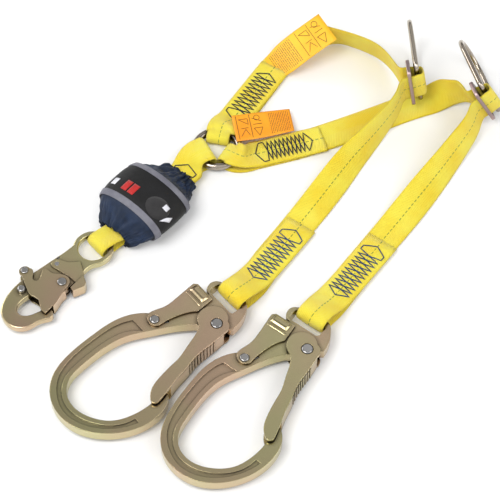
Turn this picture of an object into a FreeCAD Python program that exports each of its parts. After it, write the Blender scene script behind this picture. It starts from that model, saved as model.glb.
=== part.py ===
import FreeCAD, Part
import math
import os
from FreeCAD import Placement, Rotation, Vector

# Twin-leg shock absorbing lanyard, laid out on a flat surface, in millimetres.
# +Z is up and z = 0 is the surface. +X runs to the right of the layout and +Y
# from the two big hooks towards the two D-rings.

# ---- driving dimensions -------------------------------------------------
LAYOUT_SHIFT = Vector(-11.0, -6.0, 0.0)   # moves the layout's box centre to the origin

WEB_WIDTH = 34.0
WEB_THICK = 2.4
LOWER = 1.3                           # height of the middle of the layer on the floor
UPPER = 4.1                           # and of the sewn end that lies on it
STRIPS = 4                            # facets across a strap
FOLD_STEP = 20.0                      # degrees between stations round a fold
SPLINE_STEPS = 4                      # stations in each span of a route

RIVET_CLEARANCE = 0.06

# Big hook: origin on the gate rivet, +X to the eye, +Y to the spine.
BIG_BODY_HALF = 6.0
BIG_EYE_HALF = 4.2
BIG_LEVER_INNER = 6.4
BIG_LEVER_OUTER = 8.2
BIG_GATE_INNER = 8.5
BIG_GATE_OUTER = 10.5
BIG_RIVET_R = 4.0
BIG_HEAD_R = 5.6
BIG_EYE_BAR = Vector(38.5, 19.2, 0)
BIG_EYE_BAR_WIDE = 8.0
BIG_LEVER_PIVOT = Vector(-43.9, 43.9, 0)
BIG_HOOK_Z = 12.0
BIG_FOLD_R = 8.3
BIG_FOLD_WIDTH = 32.0
BIG_SPRING_R = 5.9
BIG_SPRING_WIRE = 0.65
COIL_PITCH = 1.8                      # between a spring's coils, in wire radii

# Small snap hook: origin in the middle of its eye, +X away from the bowl.
SNAP_BODY_HALF = 4.0
SNAP_LOCK_INNER = 4.3
SNAP_LOCK_OUTER = 5.5
SNAP_GATE_INNER = 5.8
SNAP_GATE_OUTER = 7.4
SNAP_EYE_OUTER = 20.8
SNAP_EYE_INNER = 15.2
SNAP_EYE_MID = 18.0
SNAP_GATE_PIVOT = Vector(-51.9, -9.2, 0)
SNAP_ARM_RIVET = Vector(-68.5, 28.3, 0)
SNAP_STOP_RIVET = Vector(-85.5, 14.5, 0)
SNAP_LOCK_PIVOT = Vector(-39.5, 11.5, 0)
SNAP_HOOK_Z = 9.8
SNAP_FOLD_R = 6.8
SNAP_FOLD_WIDTH = 25.0
SNAP_FOLD_REACH = 9.3                 # from the eye's middle to the fold's axis

# Round ring in the middle that gathers the two legs and the pack.
RING_CENTRE = Vector(-35, 125, 7.1)
RING_R = 23.5
RING_ROD_R = 4.0
RING_FOLD_R = 5.8
RING_FOLD_INWARD = 5.7                # from the rod's middle in to the fold's axis
RING_FOLD_LENGTH = 25.0               # from the ring to where a strap runs flat

# D-rings, each standing on edge in a loop of its leg's webbing.
D_WIDTH = 60.0
D_HEIGHT = 84.8
D_ROD_R = 2.8
D_CORNER_R = 5.0
KEEPER_LENGTH = 54.0
KEEPER_WIDTH = 24.0
KEEPER_THICK = 4.0
KEEPER_SLOT_LENGTH = 40.0
KEEPER_SLOT_WIDTH = 5.4
KEEPER_SLOT_OFFSET = 7.2              # from the middle to each of the two slots
KEEPER_OFFSET = 8.3                   # from the D-ring's bar to the keeper's middle
WEB_ON_BAR = 3.0                      # the webbing sits this far along the bar

# Energy absorber pack.
PACK_CENTRE = Vector(-109, 46, 0)
PACK_YAW = 48.8
PACK_WALL = 1.5
PACK_END_HEIGHT = 9.8                 # middle of the pack's gathered ends
PACK_SECTIONS = [                     # along, half width, half height, middle's height
    (-46, 21.5, 9.5, PACK_END_HEIGHT),
    (-37, 29.5, 13.5, 15.0),
    (-25, 38.0, 18.5, 21.6),
    (0, 41.0, 20.0, 23.1),
    (26, 38.0, 18.5, 21.6),
    (41, 27.5, 13.5, 15.0),
    (57, 20.0, 8.8, PACK_END_HEIGHT),
]
BAND_HALF_LENGTH = 26.0
TAPE_WIDTH = 6.5
TAG_THICK = 0.9


# ---- small helpers ------------------------------------------------------
def flat(points):
    return [Vector(x, y, 0) for x, y in points]


def line(start, end):
    return Part.LineSegment(Vector(*start, 0), Vector(*end, 0)).toShape()


def arc(start, middle, end):
    return Part.Arc(Vector(*start, 0), Vector(*middle, 0), Vector(*end, 0)).toShape()


def curve(points):
    spline = Part.BSplineCurve()
    spline.interpolate(flat(points))
    return spline.toShape()


def slab(edges, low, high):
    face = Part.Face(Part.Wire(edges))
    solid = face.extrude(Vector(0, 0, high - low))
    solid.translate(Vector(0, 0, low))
    return solid


def polygon(points):
    closed = points + points[:1]
    return [line(a, b) for a, b in zip(closed, closed[1:])]


def cylinder(centre, radius, low, high):
    return Part.makeCylinder(radius, high - low, Vector(centre.x, centre.y, low))


def box(low, high):
    size = Vector(*high) - Vector(*low)
    return Part.makeBox(size.x, size.y, size.z, Vector(*low))


def rounded(solid, radius, wanted):
    """Round the edges that wanted accepts, one at a time where all together fail."""
    edges = [e for e in solid.Edges if wanted(e)]
    try:
        result = solid.makeFillet(radius, edges)
        if result.isValid():
            return result
    except Part.OCCError:
        pass
    return solid


def on_faces(low, high):
    """Accept the edges that lie in the planes z = low and z = high."""
    def wanted(edge):
        box_of = edge.BoundBox
        thin = box_of.ZMax - box_of.ZMin < 1e-6
        return thin and (abs(box_of.ZMax - low) < 1e-6 or abs(box_of.ZMax - high) < 1e-6)
    return wanted


# ---- webbing ------------------------------------------------------------
def unit(degrees):
    return Vector(math.cos(math.radians(degrees)), math.sin(math.radians(degrees)), 0)


def smooth(controls):
    """Points of the quadratic B-spline that starts and ends on its end controls."""
    points = []
    last = len(controls) - 3
    for i in range(last + 1):
        start = controls[i] if i == 0 else (controls[i] + controls[i + 1]) * 0.5
        bend = controls[i + 1]
        end = controls[i + 2] if i == last else (controls[i + 1] + controls[i + 2]) * 0.5
        for k in range(SPLINE_STEPS):
            t = k / SPLINE_STEPS
            points.append(start * (1 - t) ** 2 + bend * (2 * t * (1 - t)) + end * t ** 2)
    points.append(controls[-1])
    return points


def across(middle, half, strips=STRIPS):
    """Points across a strap from one edge to the other."""
    return [middle + half * (2 * j / strips - 1) for j in range(strips + 1)]


def route(controls, half_width=WEB_WIDTH / 2, strips=STRIPS):
    """Rows across a strap, from controls of (middle, side[, half width])."""
    middles = [Vector(*control[0]) for control in controls]
    edges = []
    for middle, control in zip(middles, controls):
        reach = control[2] if len(control) > 2 else half_width
        edges.append(middle + Vector(*control[1]).normalize() * reach)
    pairs = zip(smooth(middles), smooth(edges))
    return [across(middle, edge - middle, strips) for middle, edge in pairs]


def bar_fold(axis_point, towards, radius, half):
    """Rows round a straight bar, from under it to over it."""
    rows = []
    for k in range(int(180 / FOLD_STEP) + 1):
        angle = math.radians(FOLD_STEP * k - 90)
        lift = Vector(0, 0, radius * math.sin(angle))
        rows.append(across(axis_point + towards * (radius * math.cos(angle)) + lift, half))
    return rows


def ring_profile(over, under):
    """Distance out from the ring's rod and height, from over the rod to under it."""
    top = RING_CENTRE.z + RING_FOLD_R
    bottom = RING_CENTRE.z - RING_FOLD_R
    profile = [(RING_FOLD_LENGTH, over)]
    for out, share in ((19, 0.30), (12, 0.75), (5.5, 0.97), (0, 1)):
        profile.append((out, over + (top - over) * share))
    for k in range(int(180 / FOLD_STEP) + 1):
        angle = math.radians(90 + FOLD_STEP * k)
        inward = RING_FOLD_INWARD - RING_FOLD_R * math.cos(angle)
        profile.append((-inward, RING_CENTRE.z + RING_FOLD_R * math.sin(angle)))
    for out, share in ((0, 1), (5.5, 0.97), (12, 0.75), (19, 0.30)):
        profile.append((out, under + (bottom - under) * share))
    profile.append((RING_FOLD_LENGTH, under))
    return profile


def ring_fold(angle, heading, over, under):
    """Rows round the ring's rod: they follow the rod's arc, then leave it straight."""
    middle = RING_CENTRE + unit(angle) * RING_R
    rows = []
    for out, height in ring_profile(over, under):
        share = min(max((out - 1) / (RING_FOLD_LENGTH - 5), 0), 1)
        share = share * share * (3 - 2 * share)
        row = []
        for j in range(STRIPS + 1):
            side = WEB_WIDTH * (j / STRIPS - 0.5)
            spread = math.degrees(side / (RING_R + max(out, 0)))
            turned = RING_CENTRE + unit(angle + spread) * (RING_R + out)
            straight = middle + unit(heading) * out + unit(heading + 90) * side
            point = turned * (1 - share) + straight * share
            row.append(Vector(point.x, point.y, height))
        rows.append(row)
    return rows


def ring_control(angle, heading, out, height):
    """Control of a strap that leaves the ring, beyond its fold."""
    middle = RING_CENTRE + unit(angle) * RING_R + unit(heading) * out
    side = unit(heading + 90)
    return ((middle.x, middle.y, height), (side.x, side.y, 0))


def sheet_solid(rows, thickness=WEB_THICK):
    """Closed solid of a sheet with the given rows of points on its middle surface."""
    wide = len(rows[0])
    top = []
    bottom = []
    for i, row in enumerate(rows):
        before = rows[max(i - 1, 0)]
        after = rows[min(i + 1, len(rows) - 1)]
        for j, point in enumerate(row):
            along = after[j] - before[j]
            sideways = row[min(j + 1, wide - 1)] - row[max(j - 1, 0)]
            out = along.cross(sideways).normalize() * (thickness / 2)
            top.append(point + out)
            bottom.append(point - out)
    base = len(top)
    facets = []
    for i in range(len(rows) - 1):
        for j in range(wide - 1):
            a = i * wide + j
            quads = ((a, a + 1, a + wide + 1, a + wide), (a + base, a + wide + base, a + wide + 1 + base, a + 1 + base))
            facets += [(q[0], q[1], q[2]) for q in quads] + [(q[0], q[2], q[3]) for q in quads]
        for a, step in ((i * wide, 1), (i * wide + wide - 1, -1)):
            quad = (a, a + wide, a + wide + base, a + base)[::step]
            facets += [(quad[0], quad[1], quad[2]), (quad[0], quad[2], quad[3])]
    for a, step in ((0, 1), (base - wide, -1)):
        for j in range(a, a + wide - 1):
            quad = (j, j + base, j + 1 + base, j + 1)[::step]
            facets += [(quad[0], quad[1], quad[2]), (quad[0], quad[2], quad[3])]
    shape = Part.Shape()
    shape.makeShapeFromMesh((top + bottom, facets), 0.001)
    solid = Part.Solid(shape.Shells[0])
    if solid.Volume < 0:
        solid.reverse()
    return solid


# ---- big hooks ----------------------------------------------------------
def big_hook_body():
    outer = curve([
        (-85, -30.5), (-96, -40), (-111, -43.5), (-128, -42), (-146, -35), (-163, -22), (-176, -3),
        (-180, 20), (-173, 43), (-157, 58.5), (-138, 65.5), (-100, 69.7), (-73, 69), (-53, 62), (-41, 52),
    ])
    inner = curve([
        (-15.8, 14.9), (-33, 26.5), (-55, 37.5), (-78, 47.5), (-100, 50.3), (-130, 48.3), (-149, 43.5),
        (-161, 31), (-163.8, 14), (-157, -5), (-144, -19.5), (-127, -26.5), (-107, -28.5), (-96, -27.5),
    ])
    edges = [
        outer,
        line((-41, 52), (-36.5, 43)),
        line((-36.5, 43), (-12, 40)),
        line((-12, 40), (17.5, 33.5)),
        line((17.5, 33.5), (18.2, 39)),
        arc((18.2, 39), (26, 43), (34, 41.5)),
        arc((34, 41.5), (42.5, 19.2), (38.5, -0.5)),
        arc((38.5, -0.5), (27.5, -8.5), (9.5, -13.3)),
        line((9.5, -13.3), (5.2, -7.6)),
        arc((5.2, -7.6), (-7.6, -5.2), (-8.4, 3.7)),
        line((-8.4, 3.7), (-15.8, 14.9)),
        inner,
        arc((-96, -27.5), (-89, -26.5), (-85, -30.5)),
    ]
    body = slab(edges, -BIG_BODY_HALF, BIG_BODY_HALF)
    body = rounded(body, 1.6, on_faces(-BIG_BODY_HALF, BIG_BODY_HALF))
    slot_low = (19.5, 1.0)
    slot_high = (BIG_EYE_BAR.x - BIG_EYE_BAR_WIDE / 2, 37.4)
    slot = box((slot_low[0], slot_low[1], -10), (slot_high[0], slot_high[1], 10))
    slot = slot.makeFillet(3.0, [e for e in slot.Edges if e.BoundBox.ZLength > 15])
    body = body.cut(slot)
    for sign in (1, -1):
        wedge = Part.Face(Part.makePolygon([
            Vector(28, -30, sign * (BIG_BODY_HALF + 1)),
            Vector(28, -30, sign * BIG_BODY_HALF),
            Vector(slot_high[0], -30, sign * BIG_EYE_HALF),
            Vector(60, -30, sign * BIG_EYE_HALF),
            Vector(60, -30, sign * (BIG_BODY_HALF + 1)),
            Vector(28, -30, sign * (BIG_BODY_HALF + 1)),
        ])).extrude(Vector(0, 90, 0))
        body = body.cut(wedge)
    bar_edges = lambda e: e.BoundBox.XMin > slot_high[0] - 0.01 and abs(abs(e.BoundBox.ZMax) - BIG_EYE_HALF) < 0.01
    body = rounded(body, 1.9, lambda e: bar_edges(e) and e.BoundBox.ZLength < 0.01 and e.BoundBox.YLength > 15)
    body = recess_bowl(body)
    body = body.cut(cylinder(Vector(), BIG_RIVET_R, -10, 10))
    body = body.cut(cylinder(BIG_LEVER_PIVOT, 3.5, -10, 10))
    return body


def recess_bowl(body):
    """Shallow channel in both sides of the bowl, like a forged section."""
    depth = 1.3
    outer = [
        (-60, 58), (-78, 64), (-100, 64.8), (-137, 60.5), (-153, 54), (-167, 40), (-174.5, 20),
        (-170.5, -1), (-159, -18), (-143, -30.5), (-126, -37),
    ]
    inner = [
        (-60, 41.5), (-78, 53), (-100, 55.5), (-130, 53.5), (-151, 48), (-165.5, 33), (-169, 14),
        (-161.5, -7.5), (-147.5, -23.5), (-126, -31.5),
    ]
    edges = [curve(outer), line(outer[-1], inner[-1]), curve(inner[::-1]), line(inner[0], outer[0])]
    for low, high in ((BIG_BODY_HALF - depth, BIG_BODY_HALF + 1), (-BIG_BODY_HALF - 1, -BIG_BODY_HALF + depth)):
        body = body.cut(slab(edges, low, high))
    return body


def big_gate_outline():
    return [
        arc((9.6, -5.5), (1, 21.8), (-14.5, 10.5)),
        curve([(-14.5, 10.5), (-24, 3.5), (-36, -1), (-54, -7.5), (-66, -9.5), (-80, -12.3), (-92, -16), (-102.5, -25)]),
        arc((-102.5, -25), (-103.5, -30.5), (-99.5, -33.2)),
        curve([(-99.5, -33.2), (-82.4, -28.6), (-65.6, -23.3), (-53.6, -20.6), (-42.2, -17.2), (-25.5, -15.4), (-11.7, -14.6), (-2, -13.4)]),
        arc((-2, -13.4), (5, -12.6), (9.6, -5.5)),
    ]


def big_hook_gate():
    plates = slab(big_gate_outline(), -BIG_GATE_OUTER, BIG_GATE_OUTER)
    plates = plates.cut(slab(big_gate_outline(), -BIG_GATE_INNER, BIG_GATE_INNER))
    web_edges = [
        curve([(-80, -28.0), (-65.6, -23.4), (-53.6, -20.7), (-42.2, -17.3), (-25.5, -15.5), (-11.7, -14.7), (-2, -13.5)]),
        line((-2, -13.5), (-2, -11.6)),
        curve([(-2, -11.6), (-11.7, -12.7), (-25.5, -13.5), (-42.2, -15.3), (-53.6, -18.7), (-65.6, -21.4), (-80, -26.0)]),
        line((-80, -26.0), (-80, -28.0)),
    ]
    gate = plates.fuse(slab(web_edges, -BIG_GATE_INNER, BIG_GATE_INNER))
    for k in range(9):
        rib = box((-50 + 4.2 * k, -24, -BIG_GATE_OUTER + 2), (-48.4 + 4.2 * k, -12, BIG_GATE_OUTER - 2))
        rim = slab(grip_strip(), -BIG_GATE_OUTER + 2, BIG_GATE_OUTER - 2)
        gate = gate.fuse(rib.common(rim))
    gate = gate.cut(cylinder(Vector(), BIG_RIVET_R + RIVET_CLEARANCE, -20, 20))
    for low, high in ((BIG_GATE_OUTER - 0.9, 20), (-20, -BIG_GATE_OUTER + 0.9)):
        gate = gate.cut(cylinder(Vector(), BIG_HEAD_R + 0.5, low, high))
    return gate.removeSplitter()


def grip_strip():
    return [
        curve([(-53.6, -21.6), (-42.2, -18.2), (-25.5, -16.3), (-11.7, -15.5)]),
        line((-11.7, -15.5), (-11.7, -14.0)),
        curve([(-11.7, -14.0), (-25.5, -14.8), (-42.2, -16.6), (-53.6, -20.0)]),
        line((-53.6, -20.0), (-53.6, -21.6)),
    ]


def big_hook_lever():
    outline = [
        arc((-44.5, 35.8), (-50.3, 43), (-43, 53.2)),
        curve([(-43, 53.2), (-36, 52), (-28, 49.6), (-15.9, 49.4), (-0.7, 51.1), (12.1, 52.4)]),
        line((12.1, 52.4), (15.4, 49.1)),
        line((15.4, 49.1), (15.4, 26.0)),
        line((15.4, 26.0), (-4.4, 24.0)),
        curve([(-4.4, 24.0), (-10.9, 28.3), (-21.6, 32.4), (-34, 35.0), (-44.5, 35.8)]),
    ]
    plates = slab(outline, -BIG_LEVER_OUTER, BIG_LEVER_OUTER)
    plates = plates.cut(slab(outline, -BIG_LEVER_INNER, BIG_LEVER_INNER))
    pad = slab([
        curve([(-30, 49.75), (-15.9, 49.3), (-0.7, 51.0), (12.1, 52.4)]),
        line((12.1, 52.4), (15.4, 49.1)),
        line((15.4, 49.1), (12.4, 48.8)),
        curve([(12.4, 48.8), (-0.7, 48.8), (-15.9, 47.3), (-30, 47.5)]),
        line((-30, 47.5), (-30, 49.75)),
    ], -BIG_LEVER_INNER, BIG_LEVER_INNER)
    lever = plates.fuse(pad).removeSplitter()
    for low, high in ((BIG_LEVER_OUTER - 0.6, 20), (-20, -BIG_LEVER_OUTER + 0.6)):
        lever = lever.cut(cylinder(BIG_LEVER_PIVOT, 4.9, low, high))
    return lever.cut(cylinder(BIG_LEVER_PIVOT, 3.5 + RIVET_CLEARANCE, -20, 20))


def rivet(centre, shank_r, head_r, head_low, head_high):
    """Shank with a domed head on each end."""
    shank = cylinder(centre, shank_r, -head_low, head_low)
    heads = []
    for sign in (1, -1):
        head = cylinder(centre, head_r, head_low, head_high)
        head = head.makeFillet((head_high - head_low) * 0.8, [e for e in head.Edges if abs(e.BoundBox.ZMin - head_high) < 1e-6])
        if sign < 0:
            head.rotate(centre, Vector(1, 0, 0), 180)
        heads.append(head)
    return shank.fuse(heads).removeSplitter()


def torsion_spring(centre, radius, wire, low, legs):
    """Three coils round a rivet with a leg (angle, side, length) at each end."""
    heights = [low + wire * (1 + COIL_PITCH * k) for k in range(3)]
    rings = []
    for height in heights:
        ring = Part.Circle(centre + Vector(radius, 0, height), Vector(0, 1, 0), wire)
        rings.append(Part.Face(Part.Wire(ring.toShape())))
    section = rings[0].fuse(rings[1:]).removeSplitter()
    solid = section.revolve(centre, Vector(0, 0, 1), 360).Solids[0]
    for height, (angle, side, length) in zip((heights[0], heights[-1]), legs):
        start = centre + unit(angle + 90 * side) * radius + Vector(0, 0, height)
        solid = solid.fuse(Part.makeCylinder(wire * 0.95, length, start, unit(angle)))
    return solid.Solids[0]


def spring_room(centre, radius, wire, low, legs, open_z):
    """Space for a torsion spring, open at the top."""
    play = 0.4
    room = cylinder(centre, radius + wire + play, low - play / 2, open_z)
    for height, (angle, side, length) in zip((low, low + 2 * COIL_PITCH * wire), legs):
        half = wire + play
        slot = Part.makeBox(length + play, 2 * half, open_z - height + play, Vector(0, -half, height - play))
        start = centre + unit(angle + 90 * side) * radius
        slot.Placement = Placement(start, Rotation(Vector(0, 0, 1), angle)).multiply(slot.Placement)
        room = room.fuse(slot)
    return room


def big_hook(prefix, place):
    gate_legs = ((195, 1, 9), (150, -1, 14))
    lever_legs = ((-20, 1, 10), (-24, -1, 13))
    gate_spring = (Vector(), BIG_SPRING_R, BIG_SPRING_WIRE, 1.9, gate_legs)
    lever_spring = (BIG_LEVER_PIVOT, 4.8, 0.6, 2.2, lever_legs)
    body = big_hook_body()
    body = body.cut(spring_room(*gate_spring, BIG_BODY_HALF + 1))
    body = body.cut(spring_room(*lever_spring, BIG_BODY_HALF + 1))
    parts = {
        "body": body,
        "gate": big_hook_gate(),
        "lock_lever": big_hook_lever(),
        "gate_rivet": rivet(Vector(), BIG_RIVET_R, BIG_HEAD_R, BIG_GATE_OUTER - 0.8, BIG_GATE_OUTER + 0.8),
        "lever_rivet": rivet(BIG_LEVER_PIVOT, 3.5, 4.7, BIG_LEVER_OUTER - 0.5, BIG_LEVER_OUTER + 1.2),
        "gate_spring": torsion_spring(*gate_spring),
        "lever_spring": torsion_spring(*lever_spring),
    }
    save_placed(prefix, parts, place)


# ---- small snap hook ----------------------------------------------------
SNAP_GATE_SPRING = (SNAP_GATE_PIVOT, 4.6, 0.5, 1.0, ((190, 1, 7), (100, -1, 9)))
SNAP_LOCK_SPRING = (SNAP_LOCK_PIVOT, 3.7, 0.45, 1.2, ((-70, -1, 12), (10, 1, 9)))


def snap_body():
    edges = [
        curve([
            (-80.5, -25), (-86.5, -30.5), (-97, -25.3), (-109, -22.3), (-118, -16), (-122, -4), (-118.5, 9),
            (-108, 17.8), (-93, 22.5), (-76, 23.6), (-60, 21.6), (-42, 19.5), (-22, 17.2), (-12, 17.0),
        ]),
        arc((-12, 17.0), (20.8, 0), (-12, -17.0)),
        curve([(-12, -17.0), (-20, -14.2), (-29, -14.8), (-41, -17.0), (-50, -17.2)]),
        arc((-50, -17.2), (-60, -9.6), (-53.5, -1.3)),
        curve([(-53.5, -1.3), (-60, 3.0), (-72, 4.2), (-85, 4.8), (-96, 5.2), (-103.5, 1.8), (-105.8, -5), (-101, -11.5), (-92, -15.5), (-84, -18.5)]),
        arc((-84, -18.5), (-80.5, -20.5), (-80.5, -25)),
    ]
    body = slab(edges, -SNAP_BODY_HALF, SNAP_BODY_HALF)
    body = rounded(body, 1.5, on_faces(-SNAP_BODY_HALF, SNAP_BODY_HALF))
    hole = cylinder(Vector(), SNAP_EYE_INNER, -10, 10)
    body = body.cut(hole)
    body = rounded(body, 1.7, lambda e: on_faces(-SNAP_BODY_HALF, SNAP_BODY_HALF)(e) and e.Curve.TypeId == "Part::GeomCircle" and abs(e.Curve.Radius - SNAP_EYE_INNER) < 0.01)
    body = body.cut(cylinder(SNAP_GATE_PIVOT, 3.0, -10, 10))
    body = body.cut(cylinder(SNAP_LOCK_PIVOT, 2.4, -10, 10))
    body = body.cut(cylinder(SNAP_STOP_RIVET, 2.4, -10, 10))
    body = body.cut(spring_room(*SNAP_GATE_SPRING, 10))
    return body.cut(spring_room(*SNAP_LOCK_SPRING, 10))


def snap_gate():
    outline = [
        curve([(-88.5, -24), (-88.6, -19), (-86.5, -14), (-82.5, -7), (-84.2, 3.6), (-82.2, 9.5), (-78.5, 17.5), (-74.5, 25.5)]),
        arc((-74.5, 25.5), (-68.5, 33.2), (-63.0, 26.5)),
        curve([(-63.0, 26.5), (-64.5, 19.5), (-70, 12.8), (-68.5, 10.2), (-61, 12.2), (-54.5, 15.2), (-51.5, 12.6)]),
        curve([(-51.5, 12.6), (-50.4, 4), (-46.5, -1.5), (-43.8, -8)]),
        arc((-43.8, -8), (-46.3, -14.8), (-53, -17.3)),
        curve([(-53, -17.3), (-63, -18.6), (-75, -22.0), (-88.5, -24)]),
    ]
    plates = slab(outline, -SNAP_GATE_OUTER, SNAP_GATE_OUTER)
    plates = plates.cut(slab(outline, -SNAP_GATE_INNER, SNAP_GATE_INNER))
    web = slab([
        curve([(-78.0, -22.7), (-70, -20.7), (-63, -18.7), (-57, -18.0)]),
        line((-57, -18.0), (-57, -20.0)),
        curve([(-57, -20.0), (-63, -20.3), (-70, -22.3), (-78.0, -24.3)]),
        line((-78.0, -24.3), (-78.0, -22.7)),
    ], -SNAP_GATE_OUTER, SNAP_GATE_OUTER)
    strip = slab([
        curve([(-78.0, -20.9), (-70, -19.0), (-63, -17.0), (-57, -16.4)]),
        line((-57, -16.4), (-57, -20.0)),
        curve([(-57, -20.0), (-63, -20.3), (-70, -22.3), (-78.0, -24.3)]),
        line((-78.0, -24.3), (-78.0, -20.9)),
    ], SNAP_GATE_INNER, SNAP_GATE_OUTER)
    gate = plates.fuse([web, strip, strip.mirror(Vector(), Vector(0, 0, 1))])
    gate = gate.cut(cylinder(SNAP_GATE_PIVOT, 3.0 + RIVET_CLEARANCE, -20, 20))
    gate = gate.cut(cylinder(SNAP_ARM_RIVET, 2.6, -20, 20))
    return gate.removeSplitter()


def snap_lock():
    outline = [
        arc((-44.8, 9.5), (-40, 17.2), (-34.2, 13.0)),
        line((-34.2, 13.0), (-30.8, 4.9)),
        line((-30.8, 4.9), (-21.5, -3.7)),
        line((-21.5, -3.7), (-29.9, -18.2)),
        line((-29.9, -18.2), (-34.0, -23.0)),
        line((-34.0, -23.0), (-42.0, -23.0)),
        line((-42.0, -23.0), (-42.0, -10.0)),
        line((-42.0, -10.0), (-44.8, 9.5)),
    ]
    plates = slab(outline, -SNAP_LOCK_OUTER, SNAP_LOCK_OUTER)
    plates = plates.cut(slab(outline, -SNAP_LOCK_INNER, SNAP_LOCK_INNER))
    corners = [(-31.2, -18.6), (-35.3, -26.8), (-39.6, -29.0), (-51.6, -24.6), (-50.2, -19.8), (-40.5, -19.2)]
    pad = slab(polygon(corners), -SNAP_LOCK_OUTER - 1.2, SNAP_LOCK_OUTER + 1.2)
    lock = plates.fuse(pad).removeSplitter()
    return lock.cut(cylinder(SNAP_LOCK_PIVOT, 2.4 + RIVET_CLEARANCE, -20, 20))


def snap_hook(place):
    arm_rivet = rivet(SNAP_ARM_RIVET, 2.6, 3.8, SNAP_GATE_OUTER, SNAP_GATE_OUTER + 1.1)
    stop_bush = cylinder(SNAP_STOP_RIVET, 4.0, SNAP_BODY_HALF, SNAP_GATE_OUTER)
    stop_bush = stop_bush.fuse(stop_bush.mirror(Vector(), Vector(0, 0, 1)))
    parts = {
        "body": snap_body(),
        "gate": snap_gate(),
        "lock_lever": snap_lock(),
        "gate_rivet": rivet(SNAP_GATE_PIVOT, 3.0, 4.6, SNAP_GATE_OUTER + 0.05, SNAP_GATE_OUTER + 1.2),
        "arm_rivet": arm_rivet,
        "stop_bush": stop_bush.cut(cylinder(SNAP_STOP_RIVET, 2.4, -20, 20)),
        "stop_rivet": rivet(SNAP_STOP_RIVET, 2.4, 3.6, SNAP_GATE_OUTER, SNAP_GATE_OUTER + 1.1),
        "lock_rivet": Part.makeCylinder(2.4, 2 * SNAP_LOCK_OUTER, SNAP_LOCK_PIVOT - Vector(0, 0, SNAP_LOCK_OUTER)),
        "gate_spring": torsion_spring(*SNAP_GATE_SPRING),
        "lock_spring": torsion_spring(*SNAP_LOCK_SPRING),
    }
    save_placed("snap_hook", parts, place)


# ---- rings and keepers --------------------------------------------------
def d_ring():
    """D-ring with its bar on the Z axis and its bow towards +X."""
    half = D_WIDTH / 2 - D_ROD_R
    bow = D_HEIGHT - D_ROD_R - D_WIDTH / 2
    corner = D_CORNER_R
    across_z = Vector(0, 1, 0)
    pieces = [
        Part.makeCylinder(D_ROD_R, 2 * (half - corner), Vector(0, 0, -half + corner), Vector(0, 0, 1)),
        Part.makeTorus(half, D_ROD_R, Vector(bow, 0, 0), across_z, 0, 360),
    ]
    keep_bow = box((bow, -10, -half - 10), (bow + half + 10, 10, half + 10))
    pieces[1] = pieces[1].common(keep_bow)
    for sign in (1, -1):
        centre = Vector(corner, 0, sign * (half - corner))
        elbow = Part.makeTorus(corner, D_ROD_R, centre, across_z, 0, 360)
        low_z, high_z = sorted((centre.z, centre.z + sign * (corner + D_ROD_R + 1)))
        elbow = elbow.common(box((-D_ROD_R - 1, -10, low_z), (corner, 10, high_z)))
        leg = Part.makeCylinder(D_ROD_R, bow - corner, Vector(corner, 0, sign * half), Vector(1, 0, 0))
        pieces += [elbow, leg]
    solid = pieces[0]
    for other in pieces[1:]:
        solid = solid.fuse(other)
    return solid.removeSplitter()


def keeper():
    """Slotted keeper plate, its length on Z and its thickness on Y."""
    plate = box((-KEEPER_WIDTH / 2, -KEEPER_THICK / 2, -KEEPER_LENGTH / 2),
                (KEEPER_WIDTH / 2, KEEPER_THICK / 2, KEEPER_LENGTH / 2))
    plate = plate.makeFillet(6.0, [e for e in plate.Edges if e.BoundBox.YLength > KEEPER_THICK - 0.1])
    for sign in (1, -1):
        middle = sign * KEEPER_SLOT_OFFSET
        slot = box((middle - KEEPER_SLOT_WIDTH / 2, -10, -KEEPER_SLOT_LENGTH / 2),
                   (middle + KEEPER_SLOT_WIDTH / 2, 10, KEEPER_SLOT_LENGTH / 2))
        plate = plate.cut(slot.makeFillet(1.6, [e for e in slot.Edges if e.BoundBox.YLength > 19]))
    return rounded(plate, 1.0, lambda e: e.BoundBox.YLength < 1e-6)


class DStation:
    """Local axes at a D-ring: up along its bar, out along its bow, and east."""

    def __init__(self, centre, up, out):
        self.centre = Vector(*centre)
        self.up = Vector(*up).normalize()
        raw = Vector(*out)
        self.out = (raw - self.up * raw.dot(self.up)).normalize()
        self.east = self.out.cross(self.up)

    def at(self, east, out, up=WEB_ON_BAR):
        return self.centre + self.east * east + self.out * out + self.up * up

    def ring(self):
        return placed(d_ring(), self.centre, self.out, self.up)

    def keeper(self):
        return placed(keeper(), self.at(-KEEPER_OFFSET, 0), self.out, self.up)

    def loop_rows(self):
        """The webbing's way through the keeper, round the bar and back."""
        turn = [(-18, 7.6), (-11, 7.2), (-6.5, 7.2), (0, 5.6), (6.8, 5.2)]
        back = [(east, -out) for east, out in reversed(turn)]
        up = (self.up.x, self.up.y, self.up.z)
        return [(tuple(self.at(east, out)), up) for east, out in turn + back]


def placed(solid, origin, axis_x, axis_z):
    """Solid moved so that its X and Z axes lie along the given ones."""
    axis_y = axis_z.cross(axis_x)
    matrix = FreeCAD.Matrix(
        axis_x.x, axis_y.x, axis_z.x, origin.x,
        axis_x.y, axis_y.y, axis_z.y, origin.y,
        axis_x.z, axis_y.z, axis_z.z, origin.z,
        0, 0, 0, 1)
    moved = solid.copy()
    moved.Placement = Placement(matrix)
    return moved


LEFT_D = DStation((180.1, 189.7, 37.9), (-0.173, 0.022, 0.985), (-0.057, 0.998, -0.032))
RIGHT_D = DStation((256.4, 174.6, 30.4), (-0.461, -0.076, 0.884), (-0.268, 0.962, -0.058))


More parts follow.
